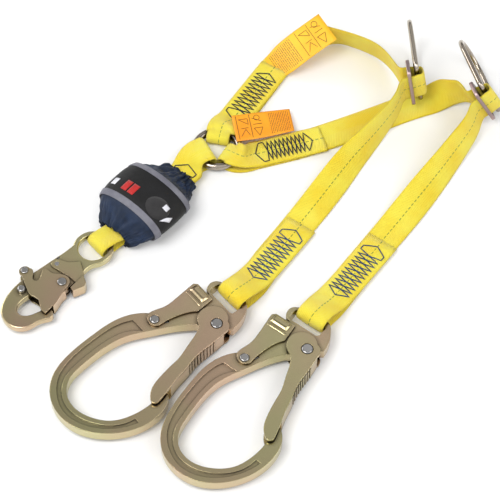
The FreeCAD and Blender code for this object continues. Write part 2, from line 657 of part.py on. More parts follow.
# ---- legs ---------------------------------------------------------------
def leg(station, ring, run_to_d, run_to_eye, eye, tail_lengths):
    """One leg: end sewn at the ring, fold, D-ring loop, fold at the hook's eye, end."""
    angle, heading = ring
    ring_tail, eye_tail = tail_lengths
    eye_point, eye_heading, run_heading = eye
    turn = ring_fold(angle, heading, UPPER, LOWER)
    first = [ring_control(angle, heading, out, LOWER) for out in (RING_FOLD_LENGTH, 45, 70)]
    inward = unit(eye_heading + 180)
    half = unit(eye_heading + 90) * (BIG_FOLD_WIDTH / 2)
    bar_side = tuple(unit(eye_heading + 90))
    run_side = tuple(unit(run_heading + 90))

    def beside_eye(out, height, side=run_side, reach=WEB_WIDTH / 2):
        middle = eye_point + unit(eye_heading) * min(out, 9) + unit(run_heading) * max(out - 9, 0)
        return ((middle.x, middle.y, height), side, reach)

    under = [beside_eye(30, LOWER), beside_eye(21, LOWER + 0.4), beside_eye(9, BIG_HOOK_Z - BIG_FOLD_R, bar_side, 16)]
    end = eye_point + Vector(0, 0, -BIG_FOLD_R)
    under.append(((end.x, end.y, end.z), bar_side, BIG_FOLD_WIDTH / 2))
    run = route(first + run_to_d + station.loop_rows() + run_to_eye + under)
    fold = bar_fold(eye_point, inward, BIG_FOLD_R, half)
    over = [((end.x, end.y, BIG_HOOK_Z + BIG_FOLD_R), bar_side, BIG_FOLD_WIDTH / 2)]
    over += [beside_eye(9, BIG_HOOK_Z + BIG_FOLD_R - 1, bar_side, 16), beside_eye(21, UPPER + 2.0)]
    over += [beside_eye(out, UPPER) for out in (30, 60, eye_tail)]
    sewn = [ring_control(angle, heading, out, UPPER) for out in (ring_tail, 70, 45, RING_FOLD_LENGTH)]
    return sheet_solid(route(sewn)[:-1] + turn[:-1] + run + fold[1:-1] + route(over))


def left_leg():
    rows = [
        ((25, 238, 1.3), (-0.83, 0.56, 0)),
        ((41, 257, 8.5), (-0.66, 0.62, 0.42)),
        ((60, 268, 13.6), (-0.42, 0.56, 0.72)),
        ((78, 274, 17.2), (-0.14, 0.10, 0.95)),
        ((97, 273, 17.9), (-0.08, -0.26, 0.96)),
        ((119, 264, 17.9), (-0.12, -0.23, 0.97)),
        ((140, 251, 18.9), (-0.26, -0.10, 0.96)),
        ((152, 233, 22.5), (-0.32, 0.10, 0.94)),
        ((159, 213, 27.5), (-0.25, 0.08, 0.96)),
    ]
    back = [
        ((157, 170, 25), (-0.16, 0.0, 0.985)),
        ((143, 152, 19.5), (-0.27, 0.1, 0.95)),
        ((128, 133, 16.8), (-0.37, 0.22, 0.90)),
        ((108, 110, 13.0), (-0.60, 0.38, 0.70)),
        ((88, 82, 8.6), (-0.76, 0.49, 0.42)),
        ((66, 51, 3.6), (-0.81, 0.57, 0.13)),
        ((42, 18, 1.3), (-0.81, 0.585, 0)),
        ((18, -15, 1.3), (-0.81, 0.585, 0)),
    ]
    return leg(LEFT_D, (78, 57.8), rows, back, (hook_eye(LEFT_HOOK), 41.5, 54.2), (108, 115))


def right_leg():
    rows = [
        ((96, 151.5, 1.3), (-0.34, 0.94, 0)),
        ((124, 163.5, 1.3), (-0.40, 0.915, 0)),
        ((152, 176.5, 1.3), (-0.41, 0.91, 0)),
        ((178, 188, 1.4), (-0.40, 0.915, 0.02)),
        ((195, 193.5, 3.6), (-0.37, 0.91, 0.16)),
        ((207, 195.0, 12.6), (-0.27, 0.70, 0.66)),
        ((218, 193, 19.0), (-0.27, 0.22, 0.94)),
        ((230, 189, 26), (-0.38, 0.08, 0.92)),
    ]
    back = [
        ((236, 143, 24.5), (-0.45, 0.04, 0.89)),
        ((222, 124, 18.0), (-0.50, 0.22, 0.84)),
        ((205, 100, 14.2), (-0.56, 0.34, 0.75)),
        ((187, 76, 10.5), (-0.68, 0.46, 0.57)),
        ((168, 51, 6.5), (-0.76, 0.55, 0.30)),
        ((147, 24, 2.4), (-0.79, 0.605, 0.05)),
        ((125, -5, 1.3), (-0.80, 0.60, 0)),
        ((105, -32, 1.3), (-0.80, 0.60, 0)),
    ]
    return leg(RIGHT_D, (-30, 16.7), rows, back, (hook_eye(RIGHT_HOOK), 53, 53.3), (97, 122))


# ---- pack ---------------------------------------------------------------
def pack_place(solid):
    moved = solid.copy()
    moved.Placement = Placement(PACK_CENTRE, Rotation(Vector(0, 0, 1), PACK_YAW))
    return moved


def pack_loft(grow, reach=0.0):
    """Loft through the pack's sections, each grown by the given amount."""
    wires = []
    for along, half_width, half_height, middle_z in PACK_SECTIONS:
        stretch = reach if along in (PACK_SECTIONS[0][0], PACK_SECTIONS[-1][0]) else 0
        x = along + math.copysign(stretch, along)
        ellipse = Part.Ellipse(Vector(0, 0, 0), half_width + grow, half_height + grow)
        wire = Part.Wire(ellipse.toShape())
        wires.append(placed(wire, Vector(x, 0, middle_z), Vector(0, 1, 0), Vector(1, 0, 0)))
    return Part.makeLoft(wires, True, False)


def pack_ring(low_grow, high_grow, low_x, high_x):
    """Part of the shell between two offsets of the pack, between two stations."""
    shell = pack_loft(high_grow).cut(pack_loft(low_grow, 5.0))
    return shell.common(box((low_x, -80, -20), (high_x, 80, 80)))


def serpentine(layers, half_length, pitch, low_z, half_width):
    """Webbing folded back and forth on itself."""
    side = Vector(0, half_width, 0)
    rows = []
    for k in range(layers):
        z = low_z + pitch * k
        way = 1 if k % 2 == 0 else -1
        rows.append(across(Vector(-way * half_length, 0, z), side, 1))
        rows.append(across(Vector(way * half_length, 0, z), side, 1))
        if k < layers - 1:
            for angle in (-60, -30, 0, 30, 60):
                turn = math.radians(angle)
                x = way * (half_length + math.cos(turn) * pitch / 2)
                rows.append(across(Vector(x, 0, z + (1 + math.sin(turn)) * pitch / 2), side, 1))
    return sheet_solid(rows, WEB_THICK - 0.3)


def ring_end_loop():
    """Loop from inside the pack round the round ring and back."""
    angle, heading = 203, 241
    inner = PACK_CENTRE + unit(PACK_YAW) * 24
    side = tuple(unit(heading + 90))
    layers = []
    for height in (PACK_END_HEIGHT + 1.5, PACK_END_HEIGHT - 1.5):
        controls = [ring_control(angle, heading, out, height) for out in (RING_FOLD_LENGTH, 36)]
        controls[-1] += (13.6,)
        controls.append(((inner.x, inner.y, height), side, 13.5))
        layers.append(route(controls))
    turn = ring_fold(angle, heading, PACK_END_HEIGHT + 1.5, PACK_END_HEIGHT - 1.5)
    return sheet_solid(layers[0][::-1] + turn[1:-1] + layers[1])


def hook_end_loop():
    """Loop from inside the pack round the small hook's eye and back."""
    heading = 41.0
    axis_point = SNAP_HOOK.Base + unit(heading) * SNAP_FOLD_REACH
    side = tuple(unit(heading + 90))
    inner = PACK_CENTRE - unit(PACK_YAW) * 16
    narrow = SNAP_FOLD_WIDTH / 2
    layers = []
    for sign in (1, -1):
        height = PACK_END_HEIGHT + 1.5 * sign
        fold_z = axis_point.z + SNAP_FOLD_R * sign
        over_eye = axis_point + unit(heading) * 9
        entrance = axis_point + unit(heading) * 18
        beside = axis_point + unit(heading) * 33
        layers.append(route([
            ((axis_point.x, axis_point.y, fold_z), side, narrow),
            ((over_eye.x, over_eye.y, fold_z - 0.3 * sign), side, narrow),
            ((entrance.x, entrance.y, fold_z - 2.6 * sign), side, narrow + 0.5),
            ((beside.x, beside.y, height), side, 15),
            ((inner.x, inner.y, height), side, 15),
        ]))
    turn = bar_fold(axis_point, unit(heading + 180), SNAP_FOLD_R, unit(heading + 90) * narrow)
    return sheet_solid(layers[1][::-1] + turn[1:-1] + layers[0])


def pack_parts():
    cover = pack_loft(0).cut(pack_loft(-PACK_WALL, 5.0))
    band = pack_ring(0.2, 1.4, -BAND_HALF_LENGTH + 0.5, BAND_HALF_LENGTH - 0.5)
    tape_low = pack_ring(1.6, 2.4, -BAND_HALF_LENGTH, -BAND_HALF_LENGTH + TAPE_WIDTH)
    tape_high = pack_ring(1.6, 2.4, BAND_HALF_LENGTH - TAPE_WIDTH, BAND_HALF_LENGTH)
    flap = pack_ring(1.6, 2.8, -BAND_HALF_LENGTH + TAPE_WIDTH + 0.5, BAND_HALF_LENGTH - TAPE_WIDTH - 0.5)
    patch = cylinder(Vector(-6.4, -26, 0), 11.5, 20, 60).fuse(box((-14.4, -60, 8), (1.6, -26, 60)))
    return {
        "pack_cover": cover,
        "pack_band": band,
        "pack_lower_tape": tape_low,
        "pack_upper_tape": tape_high,
        "pack_closing_flap": flap.common(patch),
        "pack_tear_web": serpentine(6, 26, 2.5, 14.2, 15.5),
        "pack_backup_web": serpentine(2, 20, 2.5, 29.6, 12.0),
    }


# ---- tags ---------------------------------------------------------------
def left_tag():
    side = (0.468, -0.884, 0)
    controls = [
        ((23.5, 238.5, 2.7), side, 16),
        ((30, 244, 2.8), side, 18),
        ((38, 248, 8.5), side, 20.5),
        ((60, 258, 24), side, 20.5),
        ((85, 269.5, 37.5), side, 20.5),
    ]
    return sheet_solid(route(controls, strips=1), TAG_THICK)


def right_tag():
    side = (0.17, -0.985, 0)
    controls = [
        ((-17, 145.0, 16.2), side, 17.5),
        ((5, 150.6, 13.8), side, 17.5),
        ((25, 157.4, 10.2), side, 16.5),
        ((45, 163.8, 7.5), side, 15.0),
    ]
    return sheet_solid(route(controls, strips=1), TAG_THICK)


# ---- assembly -----------------------------------------------------------
def hook_placement(x, y, z, yaw):
    return Placement(Vector(x, y, z), Rotation(Vector(0, 0, 1), yaw))


LEFT_HOOK = hook_placement(-32.8, -102.4, BIG_HOOK_Z, 39.5)
RIGHT_HOOK = hook_placement(56.1, -131.7, BIG_HOOK_Z, 53)
SNAP_HOOK = hook_placement(-160.2, -6.0, SNAP_HOOK_Z, 46.6)


def hook_eye(place):
    return place.multVec(BIG_EYE_BAR)


def save(name, solid):
    final = solid.copy()
    final.translate(LAYOUT_SHIFT)
    if not final.isValid() or final.Volume <= 0:
        print("CHECK", name, "valid", final.isValid(), "volume", final.Volume)
    final.exportStep("parts/" + name + ".step")
    return final


def save_placed(prefix, parts, place):
    for name, solid in parts.items():
        moved = solid.copy()
        moved.Placement = place.multiply(moved.Placement)
        save(prefix + "_" + name, moved)


def main():
    os.makedirs("parts", exist_ok=True)
    big_hook("left_hook", LEFT_HOOK)
    big_hook("right_hook", RIGHT_HOOK)
    snap_hook(SNAP_HOOK)
    ring = Part.makeTorus(RING_R, RING_ROD_R, RING_CENTRE)
    save("o_ring", ring)
    for side, station in (("left", LEFT_D), ("right", RIGHT_D)):
        save(side + "_d_ring", station.ring())
        save(side + "_keeper", station.keeper())
    save("left_leg_webbing", left_leg())
    save("right_leg_webbing", right_leg())
    save("left_tag", left_tag())
    save("right_tag", right_tag())
    save("hook_end_loop", hook_end_loop())
    save("ring_end_loop", ring_end_loop())
    for name, solid in pack_parts().items():
        save(name, pack_place(solid))


main()
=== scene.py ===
import math

import bmesh
import bpy
from mathutils import Matrix, Vector, noise


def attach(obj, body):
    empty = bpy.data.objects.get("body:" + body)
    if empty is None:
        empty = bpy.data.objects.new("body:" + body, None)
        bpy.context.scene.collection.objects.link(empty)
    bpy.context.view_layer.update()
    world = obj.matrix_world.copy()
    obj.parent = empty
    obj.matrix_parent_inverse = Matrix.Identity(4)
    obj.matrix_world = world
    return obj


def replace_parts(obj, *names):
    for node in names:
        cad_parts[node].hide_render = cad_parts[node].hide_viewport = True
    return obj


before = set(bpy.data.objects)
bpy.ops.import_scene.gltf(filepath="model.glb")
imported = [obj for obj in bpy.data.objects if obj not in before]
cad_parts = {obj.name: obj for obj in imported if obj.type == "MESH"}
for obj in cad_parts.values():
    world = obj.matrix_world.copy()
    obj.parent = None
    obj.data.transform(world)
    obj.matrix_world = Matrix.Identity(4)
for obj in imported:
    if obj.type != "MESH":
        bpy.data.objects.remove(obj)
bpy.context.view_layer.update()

# Twin-leg shock absorbing lanyard round its CAD frame. Lengths here are in
# millimetres in the layout's own axes; row() turns them into the frame's metres.
LAYOUT_SHIFT = Vector((-11.0, -6.0, 0.0))

WEB_WIDTH = 34.0
WEB_THICK = 2.2
LOWER = 1.3
UPPER = 4.1
ACROSS = 14                # quads across a strap
SPAN_STEPS = 10            # rows in each span of a route
FOLD_STEP = 7.5            # degrees between rows round a fold

BIG_HOOK_Z = 12.0
BIG_EYE_BAR = Vector((38.5, 19.2, 0))
BIG_FOLD_R = 8.3
BIG_FOLD_WIDTH = 32.0
SNAP_HOOK_Z = 9.8
SNAP_FOLD_R = 6.8
SNAP_FOLD_WIDTH = 25.0
SNAP_FOLD_REACH = 9.3
RING_CENTRE = Vector((-35, 125, 7.1))
RING_R = 23.5
RING_FOLD_R = 5.8
RING_FOLD_INWARD = 9.2
RING_FOLD_LENGTH = 25.0
WEB_ON_BAR = 3.0
PACK_CENTRE = Vector((-109, 46, 0))
PACK_YAW = 48.8
PACK_END_HEIGHT = 9.8
PACK_SECTIONS = [          # along, half width, half height, middle's height
    (-46, 21.5, 9.5, PACK_END_HEIGHT),
    (-37, 29.5, 13.5, 15.0),
    (-25, 38.0, 18.5, 21.6),
    (0, 41.0, 20.0, 23.1),
    (26, 38.0, 18.5, 21.6),
    (41, 27.5, 13.5, 15.0),
    (57, 20.0, 8.8, PACK_END_HEIGHT),
]
BAND_HALF_LENGTH = 26.0
TAG_FACE = -1              # the side of a tag's sheet that faces up
TAPE_WIDTH = 6.5
LEVER_HALF = 8.2
ROLL_ROWS = 28
ROLL_STEPS = 12
ROLL_END = 49.3            # where the rolls end across the pad
ROLL_SUNK = 0.25

# Stitching, in metres.
THREAD_R = 0.00058
MARK_R = 0.00028
POINT_SIDE = 0.007         # from a seam's tip to its shoulders
POINT_LENGTH = 0.012       # from a seam's tip to its first tooth
RING_SEAM_START = 0.012
RING_SEAM_PAST_TAIL = 0.004
HOOK_SEAM = (0.086, 0.010)  # start and end, back from the strap's sewn end
LOOP_SEAM = (0.024, 0.008)  # start and end, each side of the ring loop's entrance


# ---- places -------------------------------------------------------------
def row(point):
    return (Vector(point) + LAYOUT_SHIFT) / 1000


def unit(degrees):
    return Vector((math.cos(math.radians(degrees)), math.sin(math.radians(degrees)), 0))


def ease(value, start, end):
    t = min(max((value - start) / (end - start), 0), 1)
    return t * t * (3 - 2 * t)


class Hook:
    """Where a hook lies: its origin and its heading."""

    def __init__(self, x, y, z, yaw):
        self.base = Vector((x, y, z))
        self.yaw = yaw

    def at(self, point):
        return self.base + Matrix.Rotation(math.radians(self.yaw), 3, "Z") @ Vector(point)


LEFT_HOOK = Hook(-32.8, -102.4, BIG_HOOK_Z, 39.5)
RIGHT_HOOK = Hook(56.1, -131.7, BIG_HOOK_Z, 53)
SNAP_HOOK = Hook(-160.2, -6.0, SNAP_HOOK_Z, 46.6)


# ---- shader helpers -----------------------------------------------------
class Paint:
    """A material with short calls for its nodes."""

    def __init__(self, name, **values):
        self.material = bpy.data.materials.new(name)
        self.material.use_nodes = True
        self.nodes = self.material.node_tree.nodes
        self.links = self.material.node_tree.links
        self.shader = self.nodes["Principled BSDF"]
        for socket, value in values.items():
            self.shader.inputs[socket.replace("_", " ")].default_value = value

    def add(self, kind, **settings):
        node = self.nodes.new(kind)
        for name, value in settings.items():
            setattr(node, name, value)
        return node

    def link(self, source, target):
        self.links.new(source, target)

    def put(self, target, value):
        if isinstance(value, (int, float)):
            target.default_value = value
        else:
            self.link(value, target)

    def math(self, operation, a, b=0.0, c=0.0):
        node = self.add("ShaderNodeMath", operation=operation)
        for socket, value in zip(node.inputs, (a, b, c)):
            self.put(socket, value)
        return node.outputs[0]

    def coordinates(self, kind="Object"):
        return self.add("ShaderNodeTexCoord").outputs[kind]

    def uv(self):
        split = self.add("ShaderNodeSeparateXYZ")
        self.link(self.coordinates("UV"), split.inputs[0])
        return split.outputs["X"], split.outputs["Y"]

    def noise(self, scale, detail=3.0, roughness=0.5, vector=None):
        node = self.add("ShaderNodeTexNoise")
        node.inputs["Scale"].default_value = scale
        node.inputs["Detail"].default_value = detail
        node.inputs["Roughness"].default_value = roughness
        self.link(vector or self.coordinates(), node.inputs["Vector"])
        return node.outputs["Fac"]

    def ramp(self, factor, stops):
        node = self.add("ShaderNodeValToRGB")
        elements = node.color_ramp.elements
        while len(elements) < len(stops):
            elements.new(0.5)
        for element, (place, colour) in zip(elements, stops):
            element.position = place
            element.color = (*colour, 1)
        self.link(factor, node.inputs[0])
        return node.outputs[0]

    def mix(self, factor, a, b, blend_type="MIX"):
        node = self.add("ShaderNodeMix", data_type="RGBA", blend_type=blend_type)
        self.put(node.inputs[0], factor)
        for socket, value in ((node.inputs[6], a), (node.inputs[7], b)):
            if isinstance(value, tuple):
                socket.default_value = (*value, 1)
            else:
                self.link(value, socket)
        return node.outputs[2]

    def colour(self, source):
        self.link(source, self.shader.inputs["Base Color"])

    def bump(self, height, distance, strength=1.0, radius=0.0):
        node = self.add("ShaderNodeBump")
        node.inputs["Distance"].default_value = distance
        node.inputs["Strength"].default_value = strength
        self.link(height, node.inputs["Height"])
        if radius:
            bevel = self.add("ShaderNodeBevel", samples=4)
            bevel.inputs["Radius"].default_value = radius
            self.link(bevel.outputs[0], node.inputs["Normal"])
        self.link(node.outputs[0], self.shader.inputs["Normal"])


def webbing_paint(name, light, deep, thread=None):
    """Woven polyester: fine twill, painted shade darkening its edges, with a thread in its middle or none."""
    paint = Paint(name, Roughness=0.62, Sheen_Weight=0.25, Sheen_Roughness=0.4)
    paint.shader.inputs["Specular IOR Level"].default_value = 0.25
    along, side = paint.uv()
    mottle = paint.noise(22, 3, 0.55)
    base = paint.ramp(mottle, [(0.32, deep), (0.62, light)])
    # Painted shade: the colour darkens towards both edges of the strap.
    edge = paint.math("SMOOTH_MIN", paint.math("SUBTRACT", 1.0, paint.math("ABSOLUTE", side)), 0.2, 0.05)
    base = paint.mix(paint.math("SUBTRACT", 0.45, paint.math("MULTIPLY", edge, 2.2)), base, deep)
    ribs = paint.math("SINE", paint.math("MULTIPLY", side, 70))
    chevron = paint.math("MULTIPLY", paint.math("ABSOLUTE", side), 46)
    slant = paint.math("ADD", paint.math("MULTIPLY", along, 3300), chevron)
    twill = paint.math("MULTIPLY", ribs, paint.math("SINE", slant))
    base = paint.mix(paint.math("MULTIPLY", paint.math("ADD", twill, 1.0), 0.17), base, deep)
    if thread:
        threaded = paint.math("GREATER_THAN", along, 0.0)
        centre = paint.math("LESS_THAN", paint.math("ABSOLUTE", side), 0.030)
        line = paint.math("MULTIPLY", centre, threaded)
        dash = paint.math("LESS_THAN", paint.math("FRACT", paint.math("MULTIPLY", along, 185)), 0.62)
        base = paint.mix(paint.math("MULTIPLY", paint.math("MULTIPLY", line, dash), 0.8), base, thread)
    paint.colour(base)
    paint.bump(twill, 0.0005, 0.8)
    return paint.material


def steel_paint(name, light, shade, corner_shade_colour, roughness=0.3, bevel=0.0011):
    """Zinc-plated steel with a tint that drifts, painted shade in its corners and soft edges."""
    paint = Paint(name, Metallic=1.0, Roughness=roughness)
    drift = paint.noise(14, 2, 0.4)
    base = paint.ramp(drift, [(0.36, shade), (0.64, light)])
    # Painted shade: ambient occlusion darkens corners and recesses towards a near-black colour.
    corner_occlusion = paint.add("ShaderNodeAmbientOcclusion", samples=6)
    corner_occlusion.inputs["Distance"].default_value = 0.006
    corner_shade_mask = paint.math("POWER", corner_occlusion.outputs["AO"], 2.0)
    base = paint.mix(corner_shade_mask, corner_shade_colour, base)
    paint.colour(base)
    grain = paint.noise(900, 3, 0.6)
    rough = paint.math("MULTIPLY_ADD", paint.noise(120, 3, 0.5), 0.10, roughness - 0.05)
    paint.link(rough, paint.shader.inputs["Roughness"])
    paint.bump(grain, 0.00006, 0.5, bevel)
    return paint.material


def cloth_paint(name, light, deep, scale=1500, roughness=0.8, sheen=0.15):
    """Thin woven cloth with a fine grain."""
    paint = Paint(name, Roughness=roughness, Sheen_Weight=sheen)
    paint.shader.inputs["Specular IOR Level"].default_value = 0.3
    mottle = paint.noise(60, 4, 0.6)
    paint.colour(paint.ramp(mottle, [(0.3, deep), (0.7, light)]))
    weave = paint.noise(scale, 2, 0.5)
    folds = paint.noise(95, 3, 0.5)
    height = paint.math("MULTIPLY_ADD", folds, 3.0, weave)
    paint.bump(height, 0.0004, 0.6)
    return paint.material


def tag_paint(name, ground, deep, ink, lines):
    """Printed tag: rows of illegible line marks on one part, blank boxes on the rest."""
    paint = Paint(name, Roughness=0.55)
    across, along = paint.uv()
    low, high = lines
    base = paint.ramp(paint.noise(40, 3, 0.5), [(0.3, deep), (0.7, ground)])
    after_low = paint.math("GREATER_THAN", across, low)
    inside = paint.math("MULTIPLY", after_low, paint.math("LESS_THAN", across, high))
    margin = paint.math("LESS_THAN", paint.math("ABSOLUTE", paint.math("SUBTRACT", along, 0.5)), 0.42)
    rows_ = paint.math("LESS_THAN", paint.math("FRACT", paint.math("MULTIPLY", across, 34)), 0.45)
    words = paint.add("ShaderNodeTexNoise", noise_dimensions="2D")
    place = paint.add("ShaderNodeCombineXYZ")
    paint.link(paint.math("FLOOR", paint.math("MULTIPLY", across, 34)), place.inputs["X"])
    paint.link(paint.math("MULTIPLY", along, 26), place.inputs["Y"])
    paint.link(place.outputs[0], words.inputs["Vector"])
    words.inputs["Scale"].default_value = 1.0
    solid = paint.math("GREATER_THAN", words.outputs["Fac"], 0.42)
    printed = paint.math("MULTIPLY", rows_, solid)
    marks = paint.math("MULTIPLY", printed, paint.math("MULTIPLY", inside, margin))
    base = paint.mix(paint.math("MULTIPLY", marks, 0.75), base, ink)
    paint.colour(base)
    paint.bump(paint.noise(700, 2, 0.5), 0.0001, 0.5)
    return paint.material


YELLOW = (0.96, 0.86, 0.085)
# GOLD is the deeper tone of the webbing's mottle and twill, and the painted shade at its edges.
GOLD = (0.92, 0.68, 0.024)
WEBBING = webbing_paint("webbing", YELLOW, GOLD, (0.10, 0.20, 0.02))
PLAIN_WEBBING = webbing_paint("plain_webbing", YELLOW, GOLD)
# The third colour of each steel is the painted shade in its corners and recesses.
HOOK_STEEL = steel_paint("hook_steel", (0.56, 0.51, 0.28), (0.62, 0.45, 0.31), (0.02, 0.012, 0.006), 0.22)
RIVET_STEEL = steel_paint("rivet_steel", (0.50, 0.49, 0.48), (0.36, 0.35, 0.34), (0.02, 0.018, 0.016), 0.16)
SPRING_STEEL = steel_paint("spring_steel", (0.60, 0.60, 0.60), (0.40, 0.40, 0.40), (0.05, 0.05, 0.05), 0.3)
RING_STEEL = steel_paint("ring_steel", (0.50, 0.44, 0.36), (0.30, 0.25, 0.21), (0.04, 0.03, 0.02), 0.14)
KEEPER_STEEL = steel_paint("keeper_steel", (0.50, 0.38, 0.37), (0.26, 0.18, 0.18), (0.04, 0.025, 0.02), 0.3)
NAVY = cloth_paint("navy_cloth", (0.010, 0.024, 0.062), (0.003, 0.009, 0.024), roughness=0.55, sheen=0.02)
BLACK = cloth_paint("band_cloth", (0.006, 0.006, 0.007), (0.003, 0.003, 0.003), roughness=0.6, sheen=0.05)
PATCH = cloth_paint("patch_cloth", (0.030, 0.029, 0.030), (0.020, 0.019, 0.020))
GREY = cloth_paint("tape_cloth", (0.20, 0.20, 0.23), (0.12, 0.12, 0.15), 2600)
RED = cloth_paint("red_print", (0.55, 0.02, 0.015), (0.40, 0.01, 0.01), 2600, 0.5)
WHITE = cloth_paint("white_print", (0.75, 0.75, 0.80), (0.60, 0.60, 0.66), 2600, 0.5)
TAG_LEFT = tag_paint("tag_left", (0.92, 0.52, 0.02), (0.84, 0.42, 0.012), (0.20, 0.06, 0.01), (0.06, 0.47))
TAG_RIGHT = tag_paint("tag_right", (0.90, 0.38, 0.012), (0.82, 0.28, 0.008), (0.20, 0.05, 0.01), (0.60, 0.97))
INK = cloth_paint("tag_print", (0.16, 0.045, 0.008), (0.12, 0.03, 0.005), 2600, 0.6)
NAVY_THREAD = cloth_paint("navy_thread", (0.012, 0.016, 0.036), (0.006, 0.008, 0.018), 3000, 0.7)
BLUE_THREAD = cloth_paint("blue_thread", (0.02, 0.06, 0.16), (0.01, 0.03, 0.09), 3000, 0.7)


# ---- meshes -------------------------------------------------------------
def mesh_object(name, vertices, faces, paint, uvs=None, smooth=True):
    mesh = bpy.data.meshes.new(name)
    mesh.from_pydata([tuple(v) for v in vertices], [], faces)
    if uvs:
        layer = mesh.uv_layers.new(name="UVMap")
        for loop in mesh.loops:
            layer.data[loop.index].uv = uvs[loop.vertex_index]
    mesh.materials.append(paint)
    for polygon in mesh.polygons:
        polygon.use_smooth = smooth
    mesh.validate()
    obj = bpy.data.objects.new(name, mesh)
    bpy.context.scene.collection.objects.link(obj)
    return obj


def spline_points(points):
    """The row-frame points of a quadratic NURBS through the route's controls."""
    curve = bpy.data.curves.new("route", "CURVE")
    curve.dimensions = "3D"
    curve.resolution_u = SPAN_STEPS
    spline = curve.splines.new("NURBS")
    spline.points.add(len(points) - 1)
    for target, point in zip(spline.points, points):
        target.co = (*row(point), 1)
    spline.order_u = 3
    spline.use_endpoint_u = True
    holder = bpy.data.objects.new("route", curve)
    bpy.context.scene.collection.objects.link(holder)
    bpy.context.view_layer.update()
    mesh = bpy.data.meshes.new_from_object(holder)
    found = [vertex.co.copy() for vertex in mesh.vertices]
    bpy.data.objects.remove(holder)
    bpy.data.curves.remove(curve)
    bpy.data.meshes.remove(mesh)
    return found


def route_rows(controls, half_width=WEB_WIDTH / 2):
    """Rows (middle, half across), in metres, from controls of (middle, side[, half width])."""
    middles = [Vector(control[0]) for control in controls]
    edges = []
    for middle, control in zip(middles, controls):
        reach = control[2] if len(control) > 2 else half_width
        edges.append(middle + Vector(control[1]).normalized() * reach)
    pairs = zip(spline_points(middles), spline_points(edges))
    return [(middle, edge - middle) for middle, edge in pairs]


def straight_row(middle, half):
    """One row of points across a strap."""
    return [middle + half * (2 * j / ACROSS - 1) for j in range(ACROSS + 1)]


def to_points(rows):
    return [straight_row(middle, half) for middle, half in rows]


class Strap:
    """Webbing through a grid of points, with places and normals to sew on."""

    def __init__(self, name, grid, thickness=WEB_THICK / 1000, ruffle=0.00025, paint=WEBBING, thread_side=-1):
        self.grid = grid
        self.thread_side = thread_side
        self.lengths = [0.0]
        middle = ACROSS // 2
        for before, after in zip(grid, grid[1:]):
            self.lengths.append(self.lengths[-1] + (after[middle] - before[middle]).length)
        self.normals = [[self.normal(i, j) for j in range(len(grid[0]))] for i in range(len(grid))]
        self.thickness = thickness
        self.ruffle = ruffle
        self.object = self.build(name, paint)

    def normal(self, i, j):
        grid = self.grid
        along = grid[min(i + 1, len(grid) - 1)][j] - grid[max(i - 1, 0)][j]
        last = len(grid[0]) - 1
        sideways = grid[i][min(j + 1, last)] - grid[i][max(j - 1, 0)]
        return along.cross(sideways).normalized()

    def wave(self, i, side):
        """Small lengthwise swell, so that no stretch is quite flat."""
        place = self.lengths[i]
        swell = noise.noise(Vector((place * 38, side * 1.3, len(self.grid))))
        return self.ruffle * swell * (0.35 + 0.65 * abs(side))

    def surface(self, i, j, sign):
        side = 2 * j / (len(self.grid[0]) - 1) - 1
        thin = 1 - 0.55 * abs(side) ** 7
        lift = sign * self.thickness / 2 * thin + self.wave(i, side)
        return self.grid[i][j] + self.normals[i][j] * lift

    def build(self, name, paint):
        wide = len(self.grid[0])
        vertices, uvs = [], []
        for sign in (1, -1):
            for i in range(len(self.grid)):
                for j in range(wide):
                    vertices.append(self.surface(i, j, sign))
                    place = self.lengths[i] if sign == self.thread_side else -0.001 - self.lengths[i]
                    uvs.append((place, 2 * j / (wide - 1) - 1))
        base = len(self.grid) * wide
        faces = []
        for i in range(len(self.grid) - 1):
            for j in range(wide - 1):
                a = i * wide + j
                faces.append((a, a + 1, a + wide + 1, a + wide))
                faces.append((a + base, a + wide + base, a + wide + 1 + base, a + 1 + base))
            low, high = i * wide, i * wide + wide - 1
            faces.append((low, low + wide, low + wide + base, low + base))
            faces.append((high, high + base, high + wide + base, high + wide))
        for start, flip in ((0, False), (base - wide, True)):
            for j in range(start, start + wide - 1):
                face = (j, j + base, j + 1 + base, j + 1)
                faces.append(face[::-1] if flip else face)
        return mesh_object(name, vertices, faces, paint, uvs)

    def point(self, distance, side, sign, lift):
        """Point over the strap's surface at a length along it and -1 to 1 across it."""
        i = 0
        while i < len(self.lengths) - 2 and self.lengths[i + 1] < distance:
            i += 1
        t = (distance - self.lengths[i]) / max(self.lengths[i + 1] - self.lengths[i], 1e-9)
        place = (side + 1) / 2 * (len(self.grid[0]) - 1)
        j = min(int(place), len(self.grid[0]) - 2)
        s = place - j
        total = Vector()
        for row_, share in ((i, 1 - t), (i + 1, t)):
            for column, part in ((j, 1 - s), (j + 1, s)):
                surface = self.surface(row_, column, sign) + self.normals[row_][column] * sign * lift
                total += surface * share * part
        return total


def tube(name, paths, radius, paint, resolution=3):
    """Threads or wires along lists of points."""
    curve = bpy.data.curves.new(name, "CURVE")
    curve.dimensions = "3D"
    curve.bevel_depth = radius
    curve.bevel_resolution = resolution
    for points in paths:
        spline = curve.splines.new("POLY")
        spline.points.add(len(points) - 1)
        for target, point in zip(spline.points, points):
            target.co = (*point, 1)
    curve.materials.append(paint)
    obj = bpy.data.objects.new(name, curve)
    bpy.context.scene.collection.objects.link(obj)
    return obj


def zigzag(strap, start, end, reach, periods, sign, phase):
    """One thread of a zigzag along a strap, from a point to a point."""
    corners = [(start, 0.0), (start + POINT_SIDE, reach * phase)]
    first, last = start + POINT_LENGTH, end - POINT_LENGTH
    for k in range(2 * periods):
        place = first + (last - first) * k / (2 * periods - 1)
        corners.append((place, reach * phase * (1 if k % 2 else -1)))
    corners += [(end - POINT_SIDE, reach * phase), (end, 0.0)]
    path = []
    for (a, side_a), (b, side_b) in zip(corners, corners[1:]):
        for k in range(6):
            t = k / 6
            lift = 0.0002 + 0.00035 * math.sin(math.pi * t)
            path.append(strap.point(a + (b - a) * t, side_a + (side_b - side_a) * t, sign, lift))
    path.append(strap.point(end, 0.0, sign, 0.0002))
    return path


